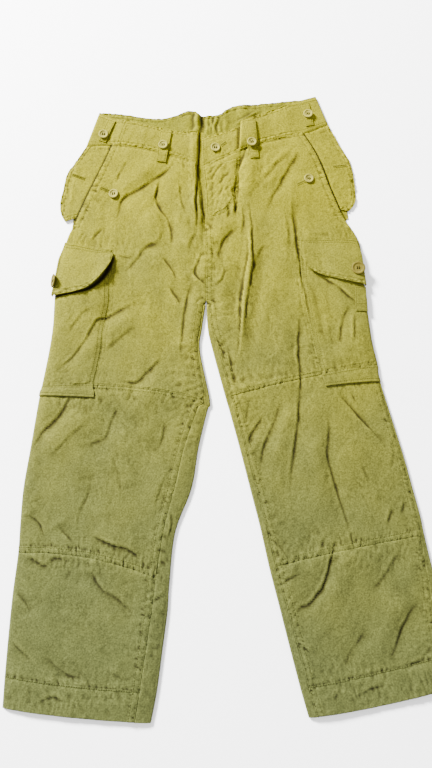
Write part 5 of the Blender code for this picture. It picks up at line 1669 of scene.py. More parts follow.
@dataclass
class LegPanel:
    """A front piece of one leg between two cross seams."""

    leg: Leg
    cloth: ClothField
    name: str
    first: str
    last: str
    top: Lap
    bottom: Lap
    flat: tuple[float, float]
    columns: int = 138
    fly_under: float = 9.0

    def seams(self, at: Array) -> tuple[LegRows, Array, Array]:
        """The rows at these parameters, and where the outer and inner seams cross them."""
        leg = self.leg
        rows = leg.rows(at)
        lips = leg.rows(np.clip(at, leg.index[self.first] + 1e-4, leg.index[self.last]))
        return rows, lips.outer_lip, rows.width - lips.inner_lip

    def lapped(self) -> bool:
        """Whether the outer edge is a lapped seam, as on the left leg below the waist's piece."""
        return self.leg.outwards > 0 and self.first != "waist"

    def middle(self, at: Array) -> tuple[Array, Array]:
        """How far each row belongs to the body above the crotch and to the fly, from 0 to 1."""
        crotch, end = self.leg.index["crotch"], self.leg.index["slash_end"]
        return smoothstep((crotch - 0.1 - at) / 0.3), smoothstep((end + 0.3 - at) / 0.6)

    def inner_under(self, at: Array) -> Array:
        """How far the right front runs on under the left one at the fly and the centre seam."""
        if self.leg.outwards > 0:
            return np.zeros_like(at)
        body, fly = self.middle(at)
        return body * (UNDERLAP + self.fly_under * fly)

    def surface(self, at: Array, across: Array) -> Array:
        """Points of the outer face.

        Args:
            at: leg parameters, one for each row.
            across: distances from the row's outer end, (rows, columns).

        Returns:
            Points (rows, columns, 3).
        """
        leg = self.leg
        rows, outer_seam, inner_seam = self.seams(at)
        plan = leg.place(rows, across)
        z = self.cloth.height(plan)
        down = leg.travelled(at)
        start, end = leg.marks(self.first, self.last)
        z += lap_height(self.top, (down - start))[:, None]
        z += lap_height(self.bottom, (end - down))[:, None]
        z = np.maximum(z + self.inner_edge(at, inner_seam[:, None] - across), LOWEST_FACE)
        return joined(plan, self.outer_edge(at, across, outer_seam, z))

    def inner_edge(self, at: Array, inside: Array) -> Array:
        """The height at the inner edge: under the other leg's front at the middle, over the lip below."""
        if self.leg.outwards > 0:
            return lap_height(Lap.OVER, inside)
        body, fly = (share[:, None] for share in self.middle(at))
        dip = -1.6 * fly * smoothstep((3.0 - inside) / 9.0)
        return body * (lap_height(Lap.UNDER, inside) + dip) + (1 - body) * lap_height(Lap.OVER, inside)

    def outer_edge(self, at: Array, across: Array, seam: Array, z: Array) -> Array:
        """The outer edge: a free facing at the hip pocket, the round side fold below it, or a lapped seam."""
        if self.lapped():
            return z + lap_height(Lap.OVER, across - seam[:, None])
        slash = smoothstep((self.leg.index["slash_end"] + 0.05 - at) / 0.1)[:, None]
        free = z + lap_height(Lap.FREE, across)
        folded = 1.0 + (z - 1.0) * round_edge(across / FOLD_RADIUS)
        return free * slash + folded * (1 - slash)

    def grid(self) -> tuple[Array, Array]:
        """The parameters of the grid: rows down the leg, and distances across it."""
        leg = self.leg
        start, end = leg.marks(self.first, self.last)
        first, last = start - UNDERLAP * (self.top is Lap.UNDER), end + UNDERLAP * (self.bottom is Lap.UNDER)
        at = leg.parameter(first + spaced(last - first, STEPS[self.top], STEPS[self.bottom], PITCH))
        _, outer_seam, inner_seam = self.seams(at)
        head = OVER_STEPS if self.lapped() else FOLD_STEPS
        return at, spread(outer_seam, inner_seam + self.inner_under(at), head, OVER_STEPS, self.columns)

    def build(self, room: Workroom) -> Piece:
        """Makes the piece, dresses it and lays it on the relief."""
        at, across = self.grid()
        outer = self.surface(at, across)
        room.relief.stamp(outer)
        # painted shadow under the right cargo flap's free edge, and on the rim along the open hip pocket
        gap_shadow = opening(outer[..., :2])
        if self.first == "waist":
            slash = smoothstep((self.leg.index["slash_end"] + 0.1 - at) / 0.3)[:, None]
            gap_shadow = np.maximum(gap_shadow, slash * smoothstep((2.4 - across) / 1.2))
        shell = wall(outer, CLOTH).shaded(3.0 * gap_shadow)
        return room.sheet(self.name, shell, self.flat)


@dataclass
class BackPanel:
    """The back of a leg: flat on the floor, with its edges folded round onto the front."""

    leg: Leg
    cloth: ClothField
    flat: tuple[float, float]
    pitch: float = 4.4
    lip_columns: int = 13
    flat_columns: int = 18
    fold_turns: int = 7
    side_rounding: float = 3.0
    clearance: float = 0.3  # between the flat part and the foot of a fold

    def fold(self, plan_edge: Array, inwards: Array) -> Array:
        """The height of each row's fold: that of the front cloth a little inside the edge."""
        return self.cloth.base(plan_edge + 3.0 * inwards, np.full(len(plan_edge), 3.0))

    def lip(self, rows: LegRows, high: Array, width: Array, inner: bool) -> tuple[Array, Array]:
        """A lip from the floor round the fold and onto the front, as distances from the edge and heights."""
        radius = (high / 2)[:, None]
        angles = np.linspace(-math.pi / 2, math.pi / 2, self.fold_turns)
        reach = radius * (1 - np.cos(angles))
        lift = radius * (1 + np.sin(angles))
        length = np.maximum(width[:, None] + UNDERLAP, radius + 3.0)
        t = np.linspace(0, 1, self.lip_columns + 1)[None, 1:]
        on_top = between(radius, length, t)
        across = rows.width[:, None] - on_top if inner else on_top
        z = self.cloth.height(self.leg.place(rows, across))
        z = between(high[:, None], z, smoothstep((on_top - radius) / 4.0))
        z += lap_height(Lap.UNDER, width[:, None] - on_top)
        return np.concatenate([reach, on_top], axis=1), np.concatenate([lift, z], axis=1)

    def build(self, room: Workroom) -> Piece:
        """Makes the panel as one grid whose missing lips are left out cell by cell."""
        leg = self.leg
        start, end = leg.marks("waist", "hem")
        first = start - UNDERLAP
        at = leg.parameter(first + spaced(end - start + UNDERLAP, (0.0, 1.5), FREE_STEPS, self.pitch))
        rows = leg.back_rows(at)
        width = rows.width[:, None]
        inwards = (rows.inner - rows.outer) / width
        inner_high = self.fold(rows.inner, -inwards)
        outer_high = self.fold(rows.outer, inwards)
        d_in, z_in = self.lip(rows, inner_high, np.maximum(rows.inner_lip, 4.0), True)
        d_out, z_out = self.lip(rows, outer_high, np.maximum(rows.outer_lip, 3.0), False)
        has_inner = at >= leg.index["crotch"] - 0.01
        has_outer = (at >= leg.index["knee_seam"] - 0.01) & (leg.outwards > 0)
        count = d_in.shape[1]
        edge = np.array(rounding(self.side_rounding, 5))
        edge_z = 0.9 * (1 - round_edge(edge / self.side_rounding))
        beyond = 0.02 * np.arange(count)[None, :] + 0.02
        without_in, without_out = ~has_inner[:, None], ~has_outer[:, None]
        d_in, z_in = np.where(without_in, 0.15 - beyond, d_in), np.where(without_in, 10 * beyond, z_in)
        d_out, z_out = np.where(without_out, -beyond, d_out), np.where(without_out, 0.9 + 10 * beyond, z_out)
        left = np.where(without_out, 0.0, outer_high[:, None] / 2 + self.clearance) + edge
        left_z = np.where(without_out, edge_z, 0.0)
        right = width - np.where(without_in, 0.15, inner_high[:, None] / 2 + self.clearance)
        flat = between(left[:, -1:], right, np.linspace(0, 1, self.flat_columns)[None, 1:])
        across = np.concatenate([d_out[:, ::-1], left, flat, width - d_in], axis=1)
        z = np.concatenate([z_out[:, ::-1], left_z, np.zeros_like(flat), z_in], axis=1)
        hem = 1 - round_edge((end - leg.travelled(at)) / 1.6)
        z[:, count:-count] += 0.7 * hem[:, None]
        points = joined(leg.place(rows, across), z)
        present = np.ones((len(at) - 1, across.shape[1] - 1), bool)
        present[:, :count] = (has_outer[:-1] & has_outer[1:])[:, None]
        present[:, -count:] = (has_inner[:-1] & has_inner[1:])[:, None]
        room.relief.stamp(points[:, -self.lip_columns :][has_inner])
        if has_outer.any():
            room.relief.stamp(points[:, : self.lip_columns][has_outer])
        return room.sheet(f"back_panel_{leg.name}", self.thickened(points, present), self.flat)

    def thickened(self, points: Array, present: Array) -> Wall:
        """The wall, whose floor side is the outer face and whose normals therefore start downwards."""
        normals = grid_normals(points)
        middle = normals[:, normals.shape[1] // 2, 2].mean()
        normals = normals * (-1.0 if middle > 0 else 1.0)
        wear = rubbed_and_shaded(points[..., 2], 2)
        wear[np.pad(~present, ((0, 1), (0, 1)), mode="edge")] = 0.0
        return Wall(points, points - CLOTH * normals, present, wear, path_chart(points))


@dataclass
class CargoPocket:
    """A cargo pocket's face and its deep hem, which go on round the side of the leg."""

    leg: Leg
    cloth: ClothField
    overhang: float = 1.0
    columns: int = 46
    side_radius: float = 5.0
    hem_wider: float = 0.4
    hem_wall: float = 1.1
    face_flat: tuple = (112, 258)
    hem_flat: tuple = (106, 27)

    def outer_fold(self, across: Array, z: Array) -> Array:
        """Rolls the outer edge down round the side of the leg."""
        return 1.4 + (z - 1.4) * round_edge((across + self.overhang) / self.side_radius)

    def across(self, width: Array) -> Array:
        """Distances across each row, from beyond the side fold to the sewn inner edge."""
        start = np.full(len(width), -self.overhang)
        return spread(start, width, rounding(4.0), OVER_STEPS, self.columns)

    def face(self, at: Array, across: Array) -> Array:
        """Points of the pocket's outer face: it puffs out from the leg and is low at its sewn edges."""
        leg = self.leg
        rows = leg.rows(at)
        plan = leg.place(rows, across)
        first, last = leg.index["pocket_top"], leg.index["knee_seam"]
        s = np.clip(across / rows.pocket[:, None], 0, 1)
        down = np.clip((at - first) / (last - first), 0, 1)[:, None]
        shape = smoothstep((1 - s) / 0.35) * (0.4 + 0.6 * smoothstep(s / 0.3))
        puff = POCKET_PUFF * shape * smoothstep(down / 0.2) * smoothstep((1 - down) / 0.15)
        inside = rows.pocket[:, None] - across
        sewn = 0.5 + (POCKET_LEVEL - 0.5 + puff) * smoothstep(inside / 12)
        rim = 0.7 * (1 - round_edge(inside / 0.9))
        z = self.cloth.height(plan) + sewn - rim - MOUTH_DEPTH * opening(plan)
        return joined(plan, self.outer_fold(across, z))

    def hem(self, t: Array, across: Array) -> Array:
        """Points of the hem's outer face. t runs from its seam, 0, to its free edge, 1."""
        leg = self.leg
        at = leg.index["knee_seam"] + t * (leg.index["pocket_bottom"] - leg.index["knee_seam"])
        rows = leg.rows(at)
        plan = leg.place(rows, across)
        lift = np.interp(t, (0, 0.5, 1), HEM_LIFT)[:, None]
        inside = rows.pocket[:, None] + self.hem_wider - across
        z = self.cloth.height(plan, 0.6) + POCKET_LEVEL + lift - 0.3
        z -= 0.9 * (1 - round_edge(inside / 1.0))
        z -= 1.0 * (1 - round_edge((leg.marks("pocket_bottom") - leg.travelled(at)) / 1.2))[:, None]
        return joined(plan, self.outer_fold(across, z))

    def build(self, room: Workroom) -> None:
        """Makes both pieces."""
        leg = self.leg
        top, seam, foot = leg.marks("pocket_top", "knee_seam", "pocket_bottom")
        at = leg.parameter(top + spaced(seam - top + UNDERLAP, (0.0, 1.0), UNDER_STEPS, 1.9))
        across = self.across(leg.rows(at).pocket)
        face = self.face(at, across)
        below = (seam - leg.travelled(at))[:, None]
        face[..., 2] += 0.4 * lap_height(Lap.UNDER, below) * smoothstep(across / 6.0)
        room.relief.stamp(face)
        count = across.shape[1]
        room.columns(face, np.arange(count), (count - 4, count - 7), 0.0)
        # painted shadow under the flap's free edge
        shell = wall(face, CLOTH).shaded(3.0 * opening(face[..., :2]))
        room.sheet(f"cargo_pocket_{leg.name}", shell, self.face_flat)
        length = foot - seam
        t = spaced(length, OVER_STEPS, FREE_STEPS, 1.5) / length
        rows = leg.rows(leg.index["knee_seam"] + t)
        hem = self.hem(t, self.across(rows.pocket + self.hem_wider))
        room.relief.stamp(hem)
        room.rows(hem, t * length, (1.8, length - 2.2), 0.0)
        shell = wall(hem, self.hem_wall)
        room.sheet(f"pocket_hem_{leg.name}", shell, self.hem_flat)


@dataclass
class CargoFlap:
    """A cargo pocket's flap: sewn along its top, curved at its free corner, folded round the leg's side."""

    name: str
    cloth: ClothField
    table: tuple
    side_foot: float
    wave: float
    stand_off: float
    turn_radius: float = 2.0
    turn_steps: int = 9
    length: float = 92.0
    column: float = 11.0  # from one of the table's columns to the next
    flat: tuple = (114, 100)

    def plan(self, s: Array, t: Array) -> Array:
        """Plan points: s counts the table's columns and t runs from the seam to the free edge."""
        ends = catmull(self.table, s)
        plan = between(ends[:, 0:2], ends[:, 2:4], t[:, None, None])
        tuck = 5.0 * smoothstep((0.35 - t) / 0.35)[:, None] * smoothstep((1 - s) / 1.0)[None, :]
        plan[..., 0] -= np.sign(ends[0, 0]) * tuck
        return plan

    def middle(self, s: Array, t: Array) -> Array:
        """Points of the flap's middle: it follows the pocket and lifts off it towards its free edge."""
        plan = self.plan(s, t)
        last = len(self.table) - 1
        near_end = 0.3 + 0.7 * smoothstep((last - s) / 1.2)[None, :]
        down = t[:, None]
        lift = 2.8 + near_end * (2.4 * smoothstep(down / 0.45) + 2.6 * down**2)
        lift = lift + self.stand_off * down**1.5 * np.exp(-(((s - 6.3) / 1.9) ** 2))[None, :]
        ripple = self.wave * down * np.sin(s * 1.9 + 0.8)[None, :] * smoothstep((last - s) / 3)[None, :]
        return joined(plan, self.cloth.height(plan, 0.7) + lift + ripple)

    def side(self, edge: Array) -> Array:
        """Columns that carry the side edge on round a quarter circle and then straight down."""
        radius, steps = self.turn_radius, self.turn_steps
        angles = np.linspace(math.pi / 2, 0, steps)[None, :-1]
        x = edge[:, None, 0] + np.sign(edge[0, 0]) * radius * np.sin(angles)
        y = np.repeat(edge[:, None, 1], steps - 1, axis=1)
        z = edge[:, None, 2] - radius * (1 - np.cos(angles))
        t = np.linspace(0, 1, steps)[None, :-1]
        foot = np.minimum(self.side_foot, z[:, :1] - 0.5)
        down = np.stack([x[:, :1] + 0 * t, y[:, :1] + 0 * t, between(foot, z[:, :1], t)], axis=-1)
        return np.concatenate([down, np.stack([x, y, z], axis=-1)], axis=1)

    def build(self, room: Workroom) -> Piece:
        """Makes the flap, doubled and with rounded edges."""
        length, last = self.length, len(self.table) - 1
        t = spaced(length, (0.0, 1.0), STITCHED_STEPS, 1.6) / length
        s = spaced(last * self.column, (0.0, 1.0), FREE_STEPS, 1.5) / self.column
        top = self.middle(s, t)
        grid = np.concatenate([self.side(top[:, 0]), top], axis=1)
        turned = grid.shape[1] - len(s)
        end, foot = np.full((2, 1, grid.shape[1]), 99.0)  # far away, where the other end is nearer
        end[:, turned:] = (last - s) * self.column
        foot[:, :turned] = np.arange(turned) * 1.1
        rim = np.minimum(np.minimum((1 - t)[:, None] * length, end), foot)
        on_top = foot > 50
        grid[..., 2] += np.where(on_top, puckered(grid[..., :2], rim, 44) * smoothstep(end / 20), 0.0)
        room.lay_doubled(grid)
        grid[..., 2] += np.where(on_top, stitched(rim) + stitched(t * length)[:, None], 0.0)
        room.rows(grid[:, turned:], t * length, (*TOPSTITCH, length - 8.0, length - 2.2))
        return room.sheet(self.name, doubled(grid, rim), self.flat)


@dataclass
class HipFlap:
    """A hip pocket's flap, turned outwards from under the front onto the floor beside the garment."""

    name: str
    leg: Leg
    table: tuple
    seam: tuple
    seed: int
    length: float = 165.0
    flat: tuple = (80, 170)

    def build(self, room: Workroom) -> Piece:
        """Makes the flap: flat on the back panel, drooping to the floor beyond it, with a soft curl."""
        length, last = self.length, len(self.table) - 1
        s = spaced(length, FREE_STEPS, STITCHED_STEPS, 2.0) / length * last
        ends = catmull(self.table, s)
        width = np.hypot(ends[:, 2] - ends[:, 0], ends[:, 3] - ends[:, 1])
        across = spread(np.zeros(len(s)) - 4.0, width, (0.0, 1.5), STITCHED_STEPS, 34) / width[:, None]
        plan = between(ends[:, None, 0:2], ends[:, None, 2:4], across[..., None])
        near = near_line(plan, self.leg.outline(False), np.inf)
        outside = (near.distance * near.side * self.leg.outwards).reshape(plan.shape[:-1])
        start, end = np.array(self.seam, float)
        below = (plan - start) @ unit(np.array([end[1] - start[1], start[0] - end[0]]))
        raised = np.maximum(smoothstep((19.0 - outside) / 10.0), smoothstep((26.0 - below) / 20.0))
        noise = GradientNoise(self.seed)
        x, y = plan[..., 0], plan[..., 1]
        curl = 0.9 * smoothstep((outside - 2) / 16) * (1 + 1.4 * noise(x / 33, y / 41))
        soft = 0.35 * noise(x / 9, y / 12) + 0.5 * np.abs(noise(x / 21 + 4, y / 17))
        under = smoothstep((3 - below) / 6)
        middle = (1.9 - 0.9 * under) * raised + DOUBLE / 2 + (curl + soft * 0.8) * (1 - under)
        middle += 0.75 * np.exp(-(((below - 2.5) / 3.5) ** 2))
        rim = np.minimum((1 - across) * width[:, None], np.minimum(s, last - s)[:, None] / last * length)
        middle += (stitched(rim) + puckered(plan, rim, self.seed + 30)) * (1 - under)
        fold = np.exp(-((distance_to(plan, self.leg.slash()) / 2.2) ** 2))
        grid = joined(plan, np.maximum(middle - 0.8 * fold, DOUBLE / 2 + 0.02))
        room.lay_doubled(grid)
        count = grid.shape[1]
        room.columns(grid, np.arange(count), (count - 6, count - 11))
        room.rows(grid, s / last * length, (length - 8.0, length - 2.2))
        # the flap dips along the slanted pocket's edge and is darkened there with painted shade
        shell = doubled(grid, rim).shaded(2.8 * fold)
        return room.sheet(self.name, shell, self.flat)


# ---------------------------------------------------------------- the waist


def seam_line(leg: Leg, beyond: float = 0.0) -> Array:
    """The waist seam of a front panel from its outer to its inner end, run on inwards by some length."""
    rows = leg.rows(np.zeros(1))
    return leg.place(rows, np.linspace(0, rows.width[0] + beyond, 40)[None, :])[0]


def settled_side(z: Array, from_side: Array, rim: Array) -> Array:
    """Lowers a front band onto the hip flap and the back band near the side, and rounds its fold.

    Args:
        z: heights of the band's middle.
        from_side: the distance from the side.
        rim: the distance from the band's upper or lower edge.

    Returns:
        The heights, which are 4.3 in the last 30 mm, 3.1 at the edges there, and 2.4 at the fold.
    """
    level = 4.3 - 1.2 * smoothstep((6 - rim) / 6)
    low = level + (z - level) * smoothstep((from_side - 30) / 30)
    return 2.4 + (low - 2.4) * round_edge(from_side / FOLD_RADIUS)


@dataclass
class RightBand:
    """The right front waistband, from the side to the fly. Its end runs on under the left one."""

    leg: Leg
    cloth: ClothField
    under_fly: float = 15.0
    width: float = 65.0
    flat: tuple = (225, 62)
    side_seam: tuple = (56.0, 61.5)  # the seam across the band, from its side

    def middle(self, s: Array, t: Array) -> Array:
        """Points of the band's middle: s runs along it from the side in millimetres, t up across it."""
        seam = seam_line(self.leg, self.under_fly)
        bottom = np.concatenate([np.linspace(RIGHT_BAND_SIDE, seam[0], 12)[:-1], seam])
        run = travel(bottom)
        low = np.stack([np.interp(s, run, bottom[:, k]) for k in (0, 1)], axis=-1)
        edge = curve(RIGHT_BAND_TOP + ((-46, 455),))
        along = (low[:, 0] - bottom[0, 0]) / (bottom[-1, 0] - bottom[0, 0])
        top_x = edge[0, 0] + along * (edge[-1, 0] - edge[0, 0])
        high = np.stack([top_x, np.interp(top_x, edge[:, 0], edge[:, 1])], axis=-1)
        plan = between(low, high, t[:, None, None])
        z = self.cloth.height(plan, 0.45) - BAND_SINK
        drop = 1.5 * smoothstep((t[:, None] - 0.6) / 0.4)
        tucked = 2.0 * smoothstep((s - (run[-1] - self.under_fly - 1)) / 5)[None, :]
        return joined(plan, z - drop - tucked)

    def length(self) -> float:
        """The length of the band's lower edge."""
        seam = seam_line(self.leg, self.under_fly)
        side = math.dist(RIGHT_BAND_SIDE, seam[0])
        return float(side + np.hypot(*np.diff(seam, axis=0).T).sum())

    def build(self, room: Workroom) -> Piece:
        """Makes the band, doubled, with two sewn lines at each edge."""
        length, width = self.length(), self.width
        s = spaced(length, FOLD_STEPS, FREE_STEPS, 1.9)
        t = spaced(width, STITCHED_STEPS, STITCHED_STEPS, 2.0) / width
        grid = self.middle(s, t)
        rim = np.minimum(t, 1 - t)[:, None] * width
        grid[..., 2] += stitched(rim) + puckered(grid[..., :2], rim, 41)
        grid[..., 2] = np.maximum(settled_side(grid[..., 2], s[None, :], rim), 1.5)
        room.lay_doubled(grid)
        shown = s < length - self.under_fly
        room.rows(grid[:, shown], t * width, (*TOPSTITCH, width - 8.0, width - 2.2))
        room.columns(grid, s, self.side_seam)
        shell = doubled(grid, np.minimum(rim, (length - s)[None, :]))
        return room.sheet("waistband_right", shell, self.flat)


@dataclass
class LeftBand:
    """The left front waistband, with its Z pleat beside the fly."""

    leg: Leg
    cloth: ClothField
    layer_pitch: float = 2.3
    turn_lift: float = 0.5
    width: float = 66.0
    flat: tuple = (290, 62)

    def columns(self) -> Array:
        """The band's columns (bottom x, top x, top y, lift), with the half circles of its pleat."""
        made = []
        for this, following in zip(LEFT_BAND, LEFT_BAND[1:] + (None,)):
            made.append((this.bottom_x, this.top_x, this.top_y, this.layer * self.layer_pitch))
            if following is None or following.layer <= this.layer:
                continue
            bulge = self.layer_pitch / 2 * (1 if this.layer == 0 else -1)
            for angle in np.radians((-60, -30, 0, 30, 60)):
                lift = (this.layer + 0.5 + 0.5 * math.sin(angle)) * self.layer_pitch
                out = bulge * math.cos(angle)
                made.append((this.bottom_x + out, this.top_x + out, this.top_y + self.turn_lift, lift))
        return np.array(made)

    def build(self, room: Workroom) -> Piece:
        """Makes the band as one wall whose columns follow the pleat's path."""
        width = self.width
        seam_x, seam_y = np.concatenate([seam_line(self.leg)[::-1], [LEFT_BAND_SIDE]]).T
        knots = self.columns()
        run = travel(knots[:, (1, 3)])
        places = spaced(run[-1], FREE_STEPS, FOLD_STEPS, 1.5)
        fine = catmull(knots, np.interp(places, run, np.arange(len(run))))
        x, lift = fine[:, 0], fine[:, 3]
        t = spaced(width, STITCHED_STEPS, STITCHED_STEPS, 2.0) / width
        down = t[:, None]
        bottom = np.stack([x, np.interp(x, seam_x, seam_y)], axis=-1)
        plan = between(bottom, fine[:, 1:3], t[:, None, None])
        z = self.cloth.height(plan, 0.45) - BAND_SINK
        pleat = smoothstep((x - 12) / 5) * smoothstep((46 - x) / 6)
        level = z[:, (x > 15) & (x < 40)].mean(axis=1)[:, None]
        z = between(z, level, pleat) + lift * (0.35 + 0.65 * smoothstep(down / 0.35))
        z -= 1.5 * smoothstep((down - 0.6) / 0.4)
        rim = np.minimum(down, 1 - down) * width
        plain = smoothstep((46 - x) / 6)[None, :] * smoothstep((14 - down * width) / 4)
        z += (stitched(rim) + puckered(plan, rim, 42) * (1 - pleat)) * (1 - plain)
        z -= 1.2 * plain * smoothstep((7 - down * width) / 7)
        recess = smoothstep((x - 10) / 5) * (x < 28) * (lift < 0.3)
        z = settled_side(z - 1.0 * recess[None, :], (run[-1] - places)[None, :], rim)
        grid = joined(plan, z)
        room.lay_doubled(grid)
        room.rows(grid[:, x < 20], t * width, (width - 8.0, width - 2.2))
        room.rows(grid[:, x > 56], t * width, (*TOPSTITCH, width - 8.0, width - 2.2))
        room.columns(grid, places, TOPSTITCH)
        # the recess beside the pleat is darkened with painted shade
        shell = doubled(grid, np.minimum(rim, places[None, :])).shaded(2.1 * recess[None, :])
        return room.sheet("waistband_left", shell, self.flat)


@dataclass
class BackBand:
    """The waistband round the back, whose inner face shows above the front bands."""

    ridges: tuple = (
        (-76, 2.4, 12.0), (-60, 10.5, 5.5), (-49, -2.0, 4.0), (-41, 2.0, 2.4), (-34, 1.7, 2.0),
        (-26, 2.6, 2.6), (-17.5, 2.2, 2.4), (-8, 1.8, 4.5), (22, 1.6, 10.0), (64, 1.4, 9.0),
    )  # fmt: skip
    fold: tuple = ((12, 473), (32, 484), (46, 494), (64, 509))
    length: float = 410.0
    width: float = 62.0
    top_x: tuple = (-240, -41, 162)  # at the right side, the middle and the left side
    bottom_x: tuple = (-262, -41, 184)
    bottom_y: tuple = (420, 441, 467)
    flat: tuple = (420, 62)

    def plan(self, t: Array) -> tuple[Array, Array]:
        """The x of the upper edge's places, and the plan at shares t of the way up to it."""
        top = curve(BACK_BAND_TOP, 4)
        steps = spaced(self.length, FREE_STEPS, FREE_STEPS, 2.0) / self.length
        places = np.interp(steps, (0, 1), (top[0, 0], top[-1, 0]))
        order = np.argsort(top[:, 0])
        high = np.stack([places, np.interp(places, top[order, 0], top[order, 1])], axis=-1)
        low_x = np.interp(places, self.top_x, self.bottom_x)
        low = np.stack([low_x, np.interp(low_x, self.bottom_x, self.bottom_y)], axis=-1)
        return places, between(low, high, t[:, None, None])

    def build(self, room: Workroom) -> Piece:
        """Makes the band with the bunched ridges at the middle of the back."""
        width = self.width
        t = spaced(width, (0.0, 1.0), STITCHED_STEPS, 2.0) / width
        places, plan = self.plan(t)
        x, y = plan[..., 0], plan[..., 1]
        noise = GradientNoise(31)
        shown = smoothstep((y - 448) / 12)
        z = 1.1 + 0.9 * np.abs(noise(x / 24, y / 40)) + 0.35 * noise(x / 8, y / 10)
        for number, (place, height, spread_out) in enumerate(self.ridges):
            lean = place + 0.06 * (y - 470) + 5 * noise(y / 17, 0 * y + 3.7 * number)
            fade = 0.75 + 1.1 * noise(y / 24 + number, x / 40)
            z += height * fade * np.exp(-(((x - lean) / spread_out) ** 2)) * shown
        slant = near_line(plan, curve(self.fold), 24.0)
        tuck = np.zeros(x.shape)
        ends = smoothstep(slant.along / 0.2) * smoothstep((1 - slant.along) / 0.5)
        tuck[slant.mask] = ends * np.exp(-((slant.distance / 2.6) ** 2))
        z += 3.0 * tuck
        rim = (1 - t)[:, None] * width
        grid = joined(plan, np.maximum(z + stitched(rim) + puckered(plan, rim, 43), DOUBLE / 2 + 0.02))
        room.lay_doubled(grid)
        room.rows(grid, t * width, (width - 8.0, width - 2.2))
        ends = np.minimum(places - places[0], places[-1] - places)[None, :]
        shell = doubled(grid, np.minimum(rim, ends))
        # the slanted fold, raised above as a ridge, is darkened here with painted shade
        shell = shell._replace(wear=shell.wear - 1.6 * tuck)
        return room.sheet("waistband_back", shell, self.flat, finish=Finish.INSIDE)


@dataclass
class FlyFacing:
    """The fly's facing, a thin ply stitched down along its J-shaped edge."""

    cloth: ClothField
    length: float = 98.0
    width: float = 60.0
    thickness: float = 0.4
    flat: tuple = (65, 115)

    def build(self, room: Workroom) -> Piece:
        """Makes the facing: just above the front, low at its rim."""
        length, width, last = self.length, self.width, len(FLY_ROWS) - 1
        at = spaced(length, (0.0, 1.2), FREE_STEPS, 1.8) / length * last
        ends = catmull(FLY_ROWS, at)
        across = spread(np.zeros(len(at)), np.ones(len(at)) * width, FREE_STEPS, FREE_STEPS, 32) / width
        plan = between(ends[:, None, 0:2], ends[:, None, 2:4], across[..., None])
        rim = np.minimum((1 - across) * width, across * width)
        rim = np.minimum(rim, ((last - at) / last * length)[:, None])
        z = self.cloth.height(plan) + FELL * 0.8 + 0.25 - 0.5 * (1 - round_edge(rim / 1.2))
        z -= 0.25 * np.exp(-(((rim - 2.0) / 0.9) ** 2))
        grid = joined(plan, z)
        room.relief.stamp(grid)
        return room.sheet("fly_facing", wall(grid, self.thickness), self.flat)


@dataclass
class ClothStrap:
    """A belt loop or pleat strap that follows what it lies on."""

    shape: Strap
    arch: float
    rests_on: tuple[str, ...]

    def build(self, room: Workroom) -> Piece:
        """Makes the strap: doubled, with rounded edges and a sewn line inside each."""
        shape = self.shape
        top = np.array([shape.top_x, shape.top_y], float)
        run = np.array([shape.bottom_x, shape.bottom_y], float) - top
        length = float(np.hypot(*run))
        t = spaced(length, FREE_STEPS, FREE_STEPS, 1.4) / length
        width = between(shape.top_width, shape.bottom_width, t)
        side = spread(-width / 2, width / 2, FREE_STEPS, FREE_STEPS, 14)
        plan = top + run * t[:, None, None] + np.array([-run[1], run[0]]) / length * side[..., None]
        under = blurred(room.relief.under(plan, 4.0), 3)
        under = np.maximum(under, blurred(room.relief.under(plan, 2.0), 1))
        rim = np.minimum(width[:, None] / 2 - np.abs(side), np.minimum(t, 1 - t)[:, None] * length)
        z = under + 0.15 + DOUBLE / 2 + self.arch * (4 * t * (1 - t))[:, None]
        grid = joined(plan, z + stitched(rim, (2.0,)))
        room.lay_doubled(grid)
        room.columns(grid, np.arange(grid.shape[1]), (4, grid.shape[1] - 5))
        room.rows(grid, t * length, (1.8, length - 13.0, length - 1.8))
        flat = (max(shape.top_width, shape.bottom_width) + 2, length + 2)
        return room.sheet(shape.name, doubled(grid, rim), flat)


# ---------------------------------------------------------------- buttons


